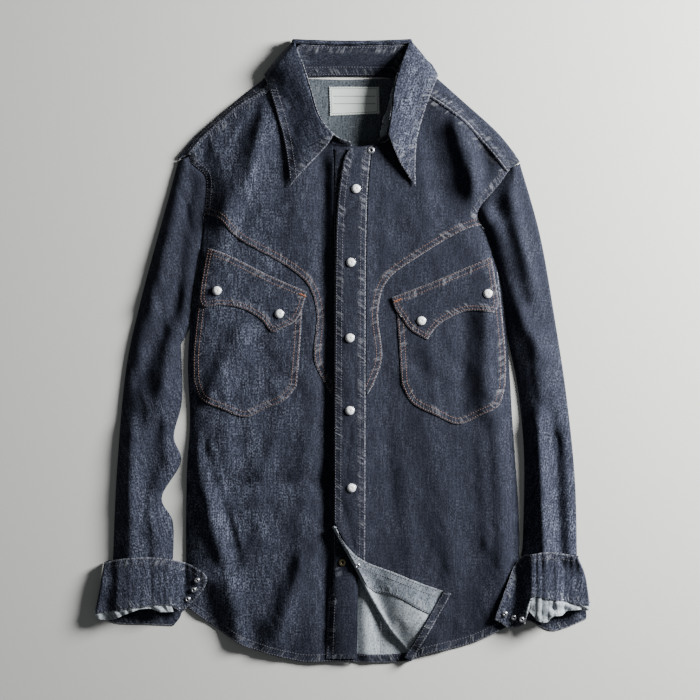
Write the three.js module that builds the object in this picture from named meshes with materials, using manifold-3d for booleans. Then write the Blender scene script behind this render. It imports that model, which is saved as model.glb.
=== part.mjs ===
// Western shirt of dark denim, laid flat on its back with the collar up the table (+Y).
// Millimetres, +Z up, the surface it lies on at z = 0, the origin under the middle of its outline.
// Right and left are the wearer's, so the shirt's right side lies towards -X.
//
// Every piece of cloth is a wall between two height fields, cut to its plan outline. All height
// fields share one grid, so a piece that lies on another follows it exactly, one gap above it.
import * as THREE from 'three';
import { mergeVertices } from 'three/addons/utils/BufferGeometryUtils.js';
import Module from 'manifold-3d';

const wasm = await Module();
wasm.setup();

// Driving sizes
const SHOULDER_WIDTH = 439; // between the shoulder points
const CLOTH = 1.2; // one wall of denim
const GAP = 0.3; // clearance between pieces that touch
const LAYER = CLOTH + GAP; // what each layer adds to a stack
const BODY_LOFT = 9; // how far the fronts stand off the back
const BODY_ROLL = 30; // width over which the fronts come down to the side edges
const SLEEVE_LOFT = 9;
const SLEEVE_ROLL = 24;
const EDGE_WALL = 1.6; // folded edge of a sleeve, cuff or shoulder
const SEAM_ROOM = 0.8; // between the sleeve and the body along the armhole and the side
const STEEPEST = 1.8; // most that a slope may thicken a wall, measured straight up
const COLLAR_OUTER_LIFT = 1.6; // collar leaf above the yoke at its outer edge
const COLLAR_FOLD_LIFT = 13; // and at the fold
const COLLAR_BACK_HEIGHT = 17; // fold of the collar behind the neck
const COLLAR_WALL = 1.3 * CLOTH; // the leaf is two layers of cloth, pressed
const CORNER_LIFT = 3.4; // turned-back front corner above the placket, at its fold
const CORNER_FADE = 40; // distance from the fold over which that lift fades
const CORNER_OVERLAP = 0.6; // the fold's wall reaches this far into the front
const PLACKET_END_ROOM = 1.2; // the placket stops this far short of that wall
const PLACKET_SET_BACK = 2; // under-placket, back from the front's centre edge
const CUFF_STANDOFF = 1; // turned-up cuff above the sleeve at its upper edge
const CUFF_FLARE = 5; // and how much further off it stands at the wrist
const CUFF_FLARE_LENGTH = 60;
const SLOPE_REACH = 4; // half the step over which a slope is measured
const LABEL_THICKNESS = 1;
const SNAP_CAP = { radius: 6, rim: 1.5, height: 2.9 };
const SNAP_RING = { radius: 4.6, hole: 1.8, height: 1.3, inside: 1.1 };
const [CORNER_SOCKET_SIZE, CUFF_RING_SIZE] = [0.8, 0.75]; // against the ring at the neck

// The plan is given in the pixels of the photograph, taken straight down.
const SHOULDER_SPAN = 343; // the shoulder width in pixels
const MM_PER_PIXEL = SHOULDER_WIDTH / SHOULDER_SPAN;
const MIDDLE = { x: 343, y: 350.5 }; // pixel over the origin
const GRID = { x: 16, y: 32 }; // cell of the common grid, finer across the folds

const at = ([px, py]) => new THREE.Vector2((px - MIDDLE.x) * MM_PER_PIXEL, (MIDDLE.y - py) * MM_PER_PIXEL);

/** Smooth line through plan points, sampled about every `step` millimetres. */
function curve(points, step = 20) {
  const spline = new THREE.SplineCurve(points.map(at));
  return spline.getSpacedPoints(Math.max(2, Math.round(spline.getLength() / step)));
}

const straight = (points) => points.map(at);
const reversed = (line) => [...line].reverse();

/** Joins lines end to end into one outline and drops points that repeat. */
function outlineOf(...lines) {
  const all = lines.flat();
  return all.filter((p, i) => p.distanceTo(all[(i + 1) % all.length]) > 0.5);
}

/** The line moved sideways, to its left for a positive distance. */
function moved(line, distance) {
  return line.map((p, i) => {
    const along = line[Math.min(i + 1, line.length - 1)].clone().sub(line[Math.max(i - 1, 0)]).normalize();
    return new THREE.Vector2(p.x - along.y * distance, p.y + along.x * distance);
  });
}

/** The points of a line between two rows of pixels, the lower row first. */
const rows = (line, low, high) => line.filter((p) => p.y > at([0, low]).y && p.y < at([0, high]).y);

// Seams and edges, from the collar down
const shoulderRight = curve([[190, 155], [205, 137], [222, 122], [240, 107], [262, 95], [299, 78]]);
const shoulderLeft = curve([[398, 78], [432, 98], [460, 118], [480, 138], [508, 172]]);
const shoulderFoldRight = curve([[178, 160], [182, 152], [200, 132], [240, 98], [264, 79]]);
const shoulderFoldLeft = curve([[438, 79], [465, 103], [495, 130], [512, 150], [520, 162]]);
const neckRight = curve([[299, 78], [301, 90], [305, 103], [318, 129], [332, 141], [360, 148]]);
const neckLeft = curve([[352, 150], [372, 146], [386, 143], [394, 130], [397, 105], [398, 78]]);
const armholeRight = curve([[204, 214], [206, 180], [198, 170], [190, 163], [190, 155]]);
const armholeLeft = curve([[508, 172], [501, 183], [479, 210], [482, 225]]);
const sideRight = curve(
  [[187, 607], [186, 540], [187, 470], [190, 420], [188, 360], [193, 300], [201, 245], [204, 214]], 22);
const sideLeft = curve([[482, 225], [493, 255], [502, 290], [508, 350], [513, 430], [519, 520], [518, 600],
  [508, 626]], 22);
const hemRight = curve([[357, 661], [330, 661], [300, 661], [262, 651], [235, 640], [187, 607]], 18);
const hemLeft = curve([[508, 626], [468, 644], [430, 653], [411, 660]], 18);
const hemCentre = curve([[411, 660], [385, 662], [357, 661]], 18);
const placketEdge = curve([[334.5, 524], [334, 494], [335, 300], [337, 215], [343, 165], [350, 150]], 30);
const placketSeam = curve([[372, 147], [369, 170], [366.5, 215], [365.5, 300], [365, 536], [364, 576]], 30);
const centreEdge = curve([[360, 148], [360, 300], [358, 560], [357, 661]], 40);
const cornerFold = curve([[334.5, 524], [360, 571], [370, 592], [390, 626], [408, 648], [411, 660]]);
const turnedEdge = curve([[334.5, 524], [346, 543], [363, 558.6], [398, 572.6], [423.5, 583], [450.4, 592]]);

// Closed edges of the body: the fronts come down to the back along these
const bodyRightEdge = [...sideRight, ...armholeRight, ...shoulderFoldRight];
const bodyLeftEdge = [...shoulderFoldLeft, ...armholeLeft, ...sideLeft];
const bodyOutline = outlineOf(bodyRightEdge, bodyLeftEdge, hemLeft, hemCentre, hemRight);

// Largest folds: a ridge or a trough (negative rise) between two places, with its half width
const FOLDS = [
  // from x, y, to x, y (pixels), half width, rise (mm)
  { from: [270, 125], to: [229, 212], half: 17, rise: 7 }, // chest, above the right yoke
  { from: [240, 335], to: [212, 392], half: 12, rise: 5 }, // across the right pocket
  { from: [226, 436], to: [222, 484], half: 13, rise: 5 },
  { from: [192, 446], to: [222, 548], half: 13, rise: 9 }, // waist, runs to the cuff
  { from: [222, 470], to: [236, 560], half: 10, rise: -4 },
  { from: [215, 486], to: [320, 481], half: 12, rise: -4 },
  { from: [232, 588], to: [241, 652], half: 13, rise: 6 }, // hem
  { from: [318, 548], to: [270, 640], half: 15, rise: 7 },
  { from: [205, 590], to: [214, 622], half: 12, rise: -4 },
  { from: [322, 165], to: [325, 640], half: 10, rise: -4 }, // beside the placket
  { from: [350, 160], to: [349, 640], half: 22, rise: 2.5 },
  { from: [457, 132], to: [480, 216], half: 11, rise: 10 }, // fold from the left shoulder
  { from: [482, 146], to: [494, 204], half: 15, rise: -7 },
  { from: [424, 118], to: [446, 204], half: 20, rise: -4 },
  { from: [488, 228], to: [503, 330], half: 14, rise: 6 },
  { from: [464, 322], to: [462, 406], half: 12, rise: -4 },
  { from: [486, 318], to: [484, 408], half: 11, rise: 5 },
  { from: [500, 400], to: [507, 560], half: 17, rise: 6 },
  { from: [430, 440], to: [455, 560], half: 20, rise: 3 },
  { from: [470, 560], to: [462, 640], half: 20, rise: -4 },
  { from: [172, 180], to: [150, 300], half: 11, rise: 6 }, // right sleeve
  { from: [176, 300], to: [142, 378], half: 13, rise: -5 },
  { from: [178, 350], to: [158, 404], half: 13, rise: 7 },
  { from: [158, 432], to: [146, 500], half: 15, rise: -5 },
  { from: [128, 430], to: [134, 552], half: 12, rise: 6 },
  { from: [526, 190], to: [556, 320], half: 13, rise: -6 }, // left sleeve
  { from: [510, 200], to: [530, 290], half: 10, rise: 5 },
  { from: [502, 284], to: [534, 344], half: 11, rise: 6 },
  { from: [538, 360], to: [541, 410], half: 18, rise: 6 },
  { from: [550, 412], to: [556, 448], half: 10, rise: -4 },
  { from: [534, 428], to: [543, 552], half: 10, rise: 12 },
].map((fold) => ({ ...fold, from: at(fold.from), to: at(fold.to) }));

const clamp01 = (value) => Math.min(1, Math.max(0, value));
const ease = (value) => clamp01(value) ** 2 * (3 - 2 * clamp01(value));

/** Shortest distance from a place to a line of points. */
function distanceTo(line, x, y) {
  let best = Infinity;
  for (let i = 0; i + 1 < line.length; i++) {
    const [a, b] = [line[i], line[i + 1]];
    const along = (x - a.x) * (b.x - a.x) + (y - a.y) * (b.y - a.y);
    const t = clamp01(along / Math.max(1e-6, a.distanceToSquared(b)));
    best = Math.min(best, Math.hypot(a.x + (b.x - a.x) * t - x, a.y + (b.y - a.y) * t - y));
  }
  return best;
}

/** Whether a place lies inside a closed outline, by counting crossings. */
function inside(outline, x, y) {
  let within = false;
  outline.forEach((a, i) => {
    const b = outline[(i + 1) % outline.length];
    if (a.y > y !== b.y > y && x < a.x + ((b.x - a.x) * (y - a.y)) / (b.y - a.y)) within = !within;
  });
  return within;
}

/** Sum of the folds: a bell across each line, rounded off over its ends. */
function foldsAt(x, y) {
  return FOLDS.reduce((sum, { from, to, half, rise }) => {
    const length = from.distanceTo(to);
    const along = ((x - from.x) * (to.x - from.x) + (y - from.y) * (to.y - from.y)) / length;
    const across = ((x - from.x) * (to.y - from.y) - (y - from.y) * (to.x - from.x)) / length;
    const past = Math.max(0, -along, along - length);
    return sum + rise * Math.exp(-((across / half) ** 2) - (past / (1.5 * half)) ** 2);
  }, 0);
}

/** Height of a lofted wall's underside: flat at the closed edges, rounded up to the loft, plus folds. */
function lofted(outline, closedEdges, loft, roll) {
  return (x, y) => {
    if (!inside(outline, x, y)) return LAYER;
    const edge = Math.min(...closedEdges.map((line) => distanceTo(line, x, y)));
    const rounded = 1 - (1 - clamp01(edge / roll)) ** 2;
    return LAYER + Math.max(0, loft * rounded + foldsAt(x, y) * ease(edge / roll));
  };
}

/** A surface that lies `level` millimetres of cloth above another, measured square to it. */
function above(base, level) {
  return (x, y) => {
    const slopeX = (base(x + SLOPE_REACH, y) - base(x - SLOPE_REACH, y)) / (2 * SLOPE_REACH);
    const slopeY = (base(x, y + SLOPE_REACH) - base(x, y - SLOPE_REACH)) / (2 * SLOPE_REACH);
    const steepness = Math.min(STEEPEST, Math.hypot(1, slopeX, slopeY));
    return base(x, y) + steepness * (typeof level === 'number' ? level : level(x, y));
  };
}

/**
 * Height of a surface as the grid draws it: two flat triangles in each cell. The diagonals follow the
 * slope of the shoulders, so they lean one way on the shirt's right half and the other way on its left.
 */
function gridHeight(surface, x, y) {
  const [i, j] = [Math.floor(x / GRID.x), Math.floor(y / GRID.y)];
  const [u, v] = [x / GRID.x - i, y / GRID.y - j];
  const corner = (di, dj) => surface((i + di) * GRID.x, (j + dj) * GRID.y);
  const [near, far, right, left] = [corner(0, 0), corner(1, 1), corner(1, 0), corner(0, 1)];
  if (i < 0 && u > v) return near + u * (right - near) + v * (far - right);
  if (i < 0) return near + v * (left - near) + u * (far - left);
  if (u + v < 1) return near + u * (right - near) + v * (left - near);
  return far + (1 - u) * (left - far) + (1 - v) * (right - far);
}

/** A geometry as a closed solid that can be joined and cut. */
function solidOf(geometry) {
  geometry.deleteAttribute('normal');
  geometry.deleteAttribute('uv');
  const merged = mergeVertices(geometry, 1e-4);
  const vertProperties = new Float32Array(merged.attributes.position.array);
  const triVerts = new Uint32Array(merged.index.array);
  return new wasm.Manifold(new wasm.Mesh({ numProp: 3, vertProperties, triVerts }));
}

/** The outline raised straight up from one height to another. */
function prism(outline, z0, z1) {
  const raised = { depth: z1 - z0, bevelEnabled: false };
  const geometry = new THREE.ExtrudeGeometry(new THREE.Shape(outline), raised);
  return solidOf(geometry.translate(0, 0, z0));
}

/** Block of the common grid between two surfaces, over the cells that an outline touches. */
function gridBlock(outline, bottom, top) {
  const box = new THREE.Box2().setFromPoints(outline);
  const [i0, i1] = [Math.floor(box.min.x / GRID.x) - 1, Math.ceil(box.max.x / GRID.x) + 1];
  const [j0, j1] = [Math.floor(box.min.y / GRID.y) - 1, Math.ceil(box.max.y / GRID.y) + 1];
  const [columns, lines] = [i1 - i0 + 1, j1 - j0 + 1];
  const positions = [];
  for (const surface of [bottom, top]) {
    for (let j = j0; j <= j1; j++) {
      for (let i = i0; i <= i1; i++) {
        const [x, y] = [i * GRID.x, j * GRID.y];
        positions.push(x, y, surface(x, y));
      }
    }
  }
  const low = (i, j) => j * columns + i;
  const high = (i, j) => lines * columns + low(i, j);
  const index = [];
  const wall = (a, b, c, d) => index.push(a, b, c, a, c, d);
  for (let j = 0; j + 1 < lines; j++) {
    for (let i = 0; i + 1 < columns; i++) {
      const cell = (side) => {
        const [near, right, far, left] = [side(i, j), side(i + 1, j), side(i + 1, j + 1), side(i, j + 1)];
        return i0 + i < 0 ? [near, right, far, near, far, left] : [near, right, left, right, far, left];
      };
      index.push(...cell(high), ...cell(low).reverse());
    }
  }
  for (let i = 0; i + 1 < columns; i++) {
    wall(low(i, 0), low(i + 1, 0), high(i + 1, 0), high(i, 0));
    wall(low(i + 1, lines - 1), low(i, lines - 1), high(i, lines - 1), high(i + 1, lines - 1));
  }
  for (let j = 0; j + 1 < lines; j++) {
    wall(low(0, j + 1), low(0, j), high(0, j), high(0, j + 1));
    wall(low(columns - 1, j), low(columns - 1, j + 1), high(columns - 1, j + 1), high(columns - 1, j));
  }
  const geometry = new THREE.BufferGeometry();
  geometry.setAttribute('position', new THREE.Float32BufferAttribute(positions, 3));
  geometry.setIndex(index);
  return solidOf(geometry);
}

const BELOW_ALL = -5;
const ABOVE_ALL = 80;

/** One piece of cloth: the block between two surfaces, cut to a plan outline. */
function cloth(outline, bottom, top) {
  return gridBlock(outline, bottom, top).intersect(prism(outline, BELOW_ALL, ABOVE_ALL));
}

/** An upright wall along a plan line, its width to the line's left, between two surfaces. */
function edgeWall(line, width, bottom, top) {
  return cloth(outlineOf(line, reversed(moved(line, width))), bottom, top);
}

const floor = () => 0;
const joined = (...solids) => solids.reduce((whole, solid) => whole.add(solid));

const shirt = new THREE.Group();
const DENIM = { color: 0x2b3149, roughness: 0.9, metalness: 0 };
const WRONG_SIDE = { color: 0x8b959e, roughness: 0.9, metalness: 0 };
const LABEL_TAPE = { color: 0xc9d6d0, roughness: 0.8, metalness: 0 };
const PEARL = { color: 0xf2f2f4, roughness: 0.25, metalness: 0 };
const NICKEL = { color: 0xb9bcc2, roughness: 0.3, metalness: 1 };
const BRASS = { color: 0x8a6a3c, roughness: 0.4, metalness: 1 };

function addMesh(name, geometry, finish) {
  const mesh = new THREE.Mesh(geometry, new THREE.MeshStandardMaterial(finish));
  mesh.name = name;
  shirt.add(mesh);
  return mesh;
}

function addCloth(name, solid, finish = DENIM) {
  const { vertProperties, triVerts } = solid.getMesh();
  const geometry = new THREE.BufferGeometry();
  geometry.setAttribute('position', new THREE.Float32BufferAttribute(vertProperties, 3));
  geometry.setIndex([...triVerts]);
  geometry.computeVertexNormals();
  return addMesh(name, geometry, finish);
}

// Body surfaces. The left front laps over the right one and its under-placket.
const frontUnder = lofted(bodyOutline, [bodyRightEdge, bodyLeftEdge], BODY_LOFT, BODY_ROLL);
const lapStart = at([361, 0]).x;
const lapEnd = at([388, 0]).x;
const lap = (x) => 2 * LAYER * (1 - ease((x - lapStart) / (lapEnd - lapStart)));
const rightAt = (layers) => above(frontUnder, layers * LAYER);
const leftAt = (layers) => above(frontUnder, (x) => lap(x) + layers * LAYER);
/** Cloth on the fronts at a layer: 0 is the front itself, 1 lies on it, and so on. */
const onRight = (outline, layer) => cloth(outline, rightAt(layer), above(frontUnder, layer * LAYER + CLOTH));
const onLeft = (outline, layer) =>
  cloth(outline, leftAt(layer), above(frontUnder, (x) => lap(x) + layer * LAYER + CLOTH));

// Back and back yoke lie flat. The yoke wraps over the shoulders to the front seams.
const yokeSeamBack = curve([[201.5, 250], [343, 262], [494.5, 262]], 60);
const sideRightLow = sideRight.filter((p) => p.y < at([0, 252]).y);
const sideLeftLow = sideLeft.filter((p) => p.y < at([0, 264]).y);
const sideRightHigh = sideRight.filter((p) => p.y > at([0, 248]).y);
const sideLeftHigh = sideLeft.filter((p) => p.y > at([0, 260]).y);
const seamGap = (line, distance) => line.map((p) => new THREE.Vector2(p.x, p.y + distance));
addCloth('back_panel', prism(
  outlineOf(sideRightLow, seamGap(yokeSeamBack, -GAP), sideLeftLow, hemLeft, hemCentre, hemRight), 0, CLOTH));

const neckBack = straight([[399, 78], [343, 80], [298, 78]]);
const backYokeSheet = prism(outlineOf(
  yokeSeamBack, reversed(sideLeftHigh), reversed(armholeLeft), reversed(shoulderFoldLeft), neckBack,
  reversed(shoulderFoldRight), reversed(armholeRight), reversed(sideRightHigh)), 0, CLOTH);
const wrapRight = outlineOf(shoulderFoldRight, reversed(moved(shoulderRight, GAP)));
const wrapLeft = outlineOf(shoulderFoldLeft, reversed(moved(shoulderLeft, GAP)));
const wrapTop = rightAt(CLOTH / LAYER);
addCloth('back_yoke', joined(
  backYokeSheet,
  cloth(wrapRight, frontUnder, wrapTop),
  cloth(wrapLeft, frontUnder, wrapTop),
  edgeWall(shoulderFoldRight, -EDGE_WALL, floor, wrapTop),
  edgeWall(shoulderFoldLeft, -EDGE_WALL, floor, wrapTop)));

// Fronts
const frontRightOutline = outlineOf(
  shoulderRight, neckRight, centreEdge, hemRight, sideRight, armholeRight);
addCloth('front_right', onRight(frontRightOutline, 0));

const frontLeftOutline = outlineOf(
  neckLeft, shoulderLeft, armholeLeft, sideLeft, hemLeft, reversed(cornerFold), placketEdge);
const turnedCorner = outlineOf(turnedEdge, straight([[431, 626], [411, 660]]), reversed(cornerFold));
const cornerLevel = (x, y) => {
  const lift = CORNER_LIFT * Math.exp(-distanceTo(cornerFold, x, y) / CORNER_FADE);
  return lap(x) + 2 * LAYER + GAP + lift;
};
const cornerUnder = above(frontUnder, cornerLevel);
const cornerTop = above(frontUnder, (x, y) => cornerLevel(x, y) + CLOTH);
const foldWallInner = moved(cornerFold, CORNER_OVERLAP);
addCloth('front_left', joined(
  onLeft(frontLeftOutline, 0),
  cloth(turnedCorner, cornerUnder, cornerTop),
  edgeWall(foldWallInner, -(EDGE_WALL + CORNER_OVERLAP), leftAt(0), cornerTop)));

// Plackets
const underPlacketEdge = curve([[335, 150], [334, 300], [334, 560], [329, 592], [326, 658]], 40);
const underPlacketBack = reversed(moved(centreEdge, -PLACKET_SET_BACK)).filter((p) => p.y < at([0, 156]).y);
addCloth('placket_right', onRight(
  outlineOf(underPlacketEdge, straight([[355, 658]]), underPlacketBack), 1));
const placketEnd = moved(cornerFold, PLACKET_END_ROOM).filter((p) => p.x < at([363, 0]).x);
addCloth('placket_left', onLeft(
  outlineOf(placketEdge, straight([[371, 148]]), placketSeam, reversed(placketEnd)), 1));

// Front yokes, whose points run down beside the placket
const yokeEdgeRight = curve([
  [204, 214], [220, 220], [240, 240], [283, 264], [308, 285], [317, 315], [314, 356], [322, 378],
  [333, 397]]);
const yokeEdgeLeft = curve([
  [367, 395], [375, 380], [382, 355], [378, 312], [388, 280], [420, 256], [460, 232], [482, 222]]);
const neckOfRightYoke = reversed(neckRight).filter((p) => p.x < at([333, 0]).x);
addCloth('front_yoke_right', onRight(outlineOf(
  yokeEdgeRight, straight([[333, 300], [333.5, 160], [333, 142]]), neckOfRightYoke,
  reversed(shoulderRight), reversed(armholeRight)), 1));
const neckOfLeftYoke = reversed(neckLeft).filter((p) => p.x > at([374, 0]).x);
const besidePlacket = moved(placketSeam, PLACKET_END_ROOM).filter((p) => p.y > at([0, 392]).y);
const armholeOfLeftYoke = reversed(armholeLeft).filter((p) => p.y > at([0, 220]).y);
addCloth('front_yoke_left', onLeft(outlineOf(
  yokeEdgeLeft, armholeOfLeftYoke, reversed(shoulderLeft), neckOfLeftYoke, besidePlacket), 1));

// Pockets with their flaps over them
const POCKETS = {
  right: {
    on: onRight,
    pocket: curve([
      [204, 266], [197, 320], [193.5, 355], [194, 382], [203, 400], [225, 410], [246, 417], [265, 409],
      [285, 400], [297, 386], [300, 350], [303, 302]]),
    flapTop: curve([[208, 248], [230, 256], [270, 276], [307, 292]]),
    flapEdge: curve([
      [307, 292], [303, 308], [295, 322], [272, 332], [262, 322], [240, 308], [207, 307], [200, 300],
      [208, 248]], 11),
  },
  left: {
    on: onLeft,
    pocket: curve([
      [396, 306], [399, 350], [401, 384], [412, 403], [435, 415], [458, 424], [480, 415], [498, 405],
      [505, 384], [505, 350], [497, 270]]),
    flapTop: curve([[391, 298], [430, 283], [470, 266], [491, 257]]),
    flapEdge: curve([
      [491, 257], [496, 290], [498, 304], [493, 313], [470, 311], [455, 315], [437, 326], [427, 340],
      [410, 330], [400, 316], [391, 298]], 11),
  },
};
for (const [side, { on, pocket, flapTop, flapEdge }] of Object.entries(POCKETS)) {
  addCloth(`pocket_${side}`, on(outlineOf(pocket), 1));
  addCloth(`pocket_flap_${side}`, on(outlineOf(flapTop, flapEdge), 2));
}

// Sleeves: flat tubes, closed along both edges and open at the armhole and the cuff
const SLEEVES = {
  right: {
    outer: curve([[178, 162], [168, 200], [157, 240], [141, 300], [126, 370], [117, 470], [113, 560]], 22),
    inner: [
      ...curve([[173, 560], [173, 522], [162, 497], [181, 462], [174, 436], [182, 400], [181, 345]]),
      ...rows(moved(sideRight, SEAM_ROOM), 334, 250)],
    seam: [
      ...rows(moved(sideRight, SEAM_ROOM), 250, 200),
      ...rows(moved(armholeRight, SEAM_ROOM), 212, 165), ...straight([[178, 162]])],
    inward: 1,
  },
  left: {
    outer: curve([[520, 164], [540, 235], [555, 320], [567, 400], [575, 480], [577, 556]], 22),
    inner: [
      ...curve([[521, 556], [523, 535], [524, 455], [518, 390], [510, 350]]),
      ...reversed(rows(moved(sideLeft, SEAM_ROOM), 340, 256))],
    seam: [
      ...reversed(rows(moved(sideLeft, SEAM_ROOM), 256, 228)),
      ...reversed(rows(moved(armholeLeft, SEAM_ROOM), 224, 174)), ...straight([[511, 173.5], [520, 164]])],
    inward: -1,
  },
};
const sleeveTops = {};
for (const [side, { outer, inner, seam, inward }] of Object.entries(SLEEVES)) {
  const outline = outlineOf(outer, inner, seam);
  const under = lofted(outline, [outer, inner, seam], SLEEVE_LOFT, SLEEVE_ROLL);
  const openUnder = (x, y) => under(x, Math.max(y, at([0, 548]).y));
  const top = above(openUnder, CLOTH);
  sleeveTops[side] = top;
  addCloth(`sleeve_${side}`, joined(
    prism(outline, 0, CLOTH),
    cloth(outline, openUnder, top),
    edgeWall(outer, inward * EDGE_WALL, floor, top),
    edgeWall(inner, inward * EDGE_WALL, floor, top)));
}

// Cuffs, turned up once: the snapped end lies open over the body's edge
const CUFFS = {
  right: {
    upper: curve([
      [104.7, 562], [126, 557], [160, 556.5], [189, 563], [204, 571], [208, 579], [198, 596], [183, 611],
      [172, 604], [140, 605], [95.5, 612]], 12),
    lower: straight([
      [104, 560.3], [173, 560.3], [181, 575], [183, 600], [181, 618], [174, 625], [120, 623], [97, 618],
      [95.5, 612]]),
    outerEdge: straight([[95.5, 612], [104.2, 563]]),
    innerEdge: straight([[181, 575], [183, 600], [182, 607]]),
  },
  left: {
    upper: curve([
      [494, 617], [498.7, 602], [513, 566], [523.6, 553.5], [546.6, 550], [576, 554], [584, 572],
      [589, 604], [556, 598], [531, 593], [526, 608], [524, 622], [508, 626]], 12),
    lower: straight([
      [521.5, 556.3], [579, 556.3], [585, 579], [590.6, 612], [589, 619.5], [550, 630], [524, 624],
      [521.5, 600]]),
    outerEdge: straight([[578.5, 559], [584.5, 579], [589, 603]]),
    innerEdge: straight([[521.5, 600], [521.5, 560]]),
  },
};
const BODY_CLEARANCE = 1.1 * LAYER; // the cuff's snapped end over the body
const cuffRow = at([0, 556]).y; // upper edge of both cuffs
const cuffTops = {};
for (const [side, { upper, lower, outerEdge, innerEdge }] of Object.entries(CUFFS)) {
  const clearOfBody = above(frontUnder, (x) => (side === 'left' ? lap(x) : 0) + BODY_CLEARANCE);
  const flare = (y) => CUFF_STANDOFF + CUFF_FLARE * ease((cuffRow - y) / CUFF_FLARE_LENGTH);
  const under = (x, y) => Math.max(sleeveTops[side](x, y) + GAP, clearOfBody(x, y)) + flare(y);
  const top = above(under, CLOTH);
  cuffTops[side] = top;
  addCloth(`cuff_${side}`, joined(
    prism(outlineOf(lower), 0, CLOTH),
    cloth(outlineOf(upper), under, top),
    edgeWall(outerEdge, -EDGE_WALL, floor, top),
    edgeWall(innerEdge, -EDGE_WALL, floor, top)));
}

// Collar leaf: two wings over the yokes, joined behind the neck where the leaf folds under the stand
const foldEdgeRight = curve([[293, 41], [302, 70], [309, 92], [318, 120], [333, 137]], 12);
const foldEdgeLeft = curve([[388, 137], [392, 115], [396, 85], [411, 41]], 12);
const wingEdgeRight = curve([[290, 188], [289, 170], [283, 135], [272, 97], [264, 76]], 12);
const wingEdgeLeft = curve([[438, 77], [425, 110], [416, 145], [415, 187]], 12);
const wingFoldRight = straight([[264, 74], [278, 58], [293, 41]]);
const wingFoldLeft = straight([[411, 41], [425, 58], [438, 75]]);
const wingRight = outlineOf(
  wingFoldRight, foldEdgeRight, curve([[333, 138], [328, 147], [304, 172], [290, 188]], 12), wingEdgeRight);
const wingLeft = outlineOf(
  foldEdgeLeft, wingFoldLeft, wingEdgeLeft, curve([[415, 187], [400, 165], [388, 138]], 12));
/** Underside of a wing: just off the yoke at its outer edge, and standing up at its fold. */
const wingUnder = (foldEdge, wingEdge, ground) => (x, y) => {
  const outer = distanceTo(wingEdge, x, y);
  const share = outer / (outer + distanceTo(foldEdge, x, y) + 1e-6);
  return ground(x, y) + COLLAR_OUTER_LIFT + COLLAR_FOLD_LIFT * ease(0.1 + 0.9 * share);
};
const thickened = (under) => (x, y) => under(x, y) + COLLAR_WALL;
const underRight = wingUnder(foldEdgeRight, wingEdgeRight, rightAt(2));
const underLeft = wingUnder(foldEdgeLeft, wingEdgeLeft, leftAt(2));
const topRight = thickened(underRight);
const topLeft = thickened(underLeft);
const backFold = straight([[411, 41], [352, 42.5], [293, 41]]);
const FOLD_SPREAD = 0.02; // rise of that fold for each millimetre away from the middle
const backFoldTop = (x) => COLLAR_BACK_HEIGHT + CLOTH + FOLD_SPREAD * Math.abs(x);
const backRoof = outlineOf(backFold, straight([[295, 46], [352, 47.5], [409.5, 46]]));
const backFoot = straight([[264.5, 74], [283, 76], [343, 77.5], [420, 76], [437.5, 75]]);
addCloth('collar_leaf', joined(
  prism(outlineOf(backFold, backFoot), 0, CLOTH),
  cloth(backRoof, (x) => backFoldTop(x) - CLOTH, backFoldTop),
  edgeWall(backFold, EDGE_WALL, floor, backFoldTop),
  cloth(wingRight, underRight, topRight),
  cloth(wingLeft, underLeft, topLeft),
  edgeWall(wingFoldRight, -EDGE_WALL, floor, topRight),
  edgeWall(wingFoldLeft, -EDGE_WALL, floor, topLeft)));

// Collar stand: slopes up behind the neck, and stands under the wings' folds at the sides
const standSideRight = curve([[300, 66], [303, 84], [307, 99], [315, 121], [330, 139], [352, 145.5]], 12);
const standSideLeft = curve([[377, 144.5], [390.5, 139], [395, 120], [397.5, 90], [402, 66]], 12);
const standNeck = straight([[402, 76], [343, 77.6], [300, 76]]);
const standTop = straight([[297, 49], [352, 50], [408, 49]]);
const STAND_RISE = COLLAR_BACK_HEIGHT - 2 * LAYER - 1; // up to just under the leaf's fold
const [standFootRow, standTopRow] = [at([0, 78]).y, at([0, 47]).y];
const standSlope = (x, y) => {
  const share = clamp01((y - standFootRow) / (standTopRow - standFootRow));
  return LAYER + STAND_RISE * Math.sin((share * Math.PI) / 2);
};
addCloth('collar_stand', joined(
  cloth(outlineOf(standNeck, standTop), standSlope, above(standSlope, CLOTH)),
  edgeWall(standSideRight, -EDGE_WALL, rightAt(2), (x, y) => underRight(x, y) - GAP),
  edgeWall(standSideLeft, -EDGE_WALL, leftAt(2), (x, y) => underLeft(x, y) - GAP)));

// Label on the inside of the back yoke, left blank
const labelOutline = straight([[329, 87], [379, 87], [379.5, 114], [330, 116]]);
addCloth('neck_label', prism(labelOutline, LAYER, LAYER + LABEL_THICKNESS), LABEL_TAPE);

/** Height that clears a surface under a round fitting. */
function restHeight(surface, centre, radius) {
  const around = Array.from({ length: 12 }, (_, i) => (i * Math.PI) / 6);
  const heights = around.map((angle) => {
    const [x, y] = [centre.x + radius * Math.cos(angle), centre.y + radius * Math.sin(angle)];
    return gridHeight(surface, x, y);
  });
  return Math.max(gridHeight(surface, centre.x, centre.y), ...heights) + GAP / 2;
}

/** A round fitting turned from its profile (radius, height) and set on a surface. */
function addFitting(name, pixel, surface, profile, finish, segments = 10) {
  const centre = at(pixel);
  const points = profile.map(([r, z]) => new THREE.Vector2(r, z));
  const geometry = new THREE.LatheGeometry(points, segments).rotateX(Math.PI / 2);
  const mesh = addMesh(name, geometry, finish);
  mesh.position.set(centre.x, centre.y, restHeight(surface, centre, Math.max(...profile.map(([r]) => r))));
}

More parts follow.
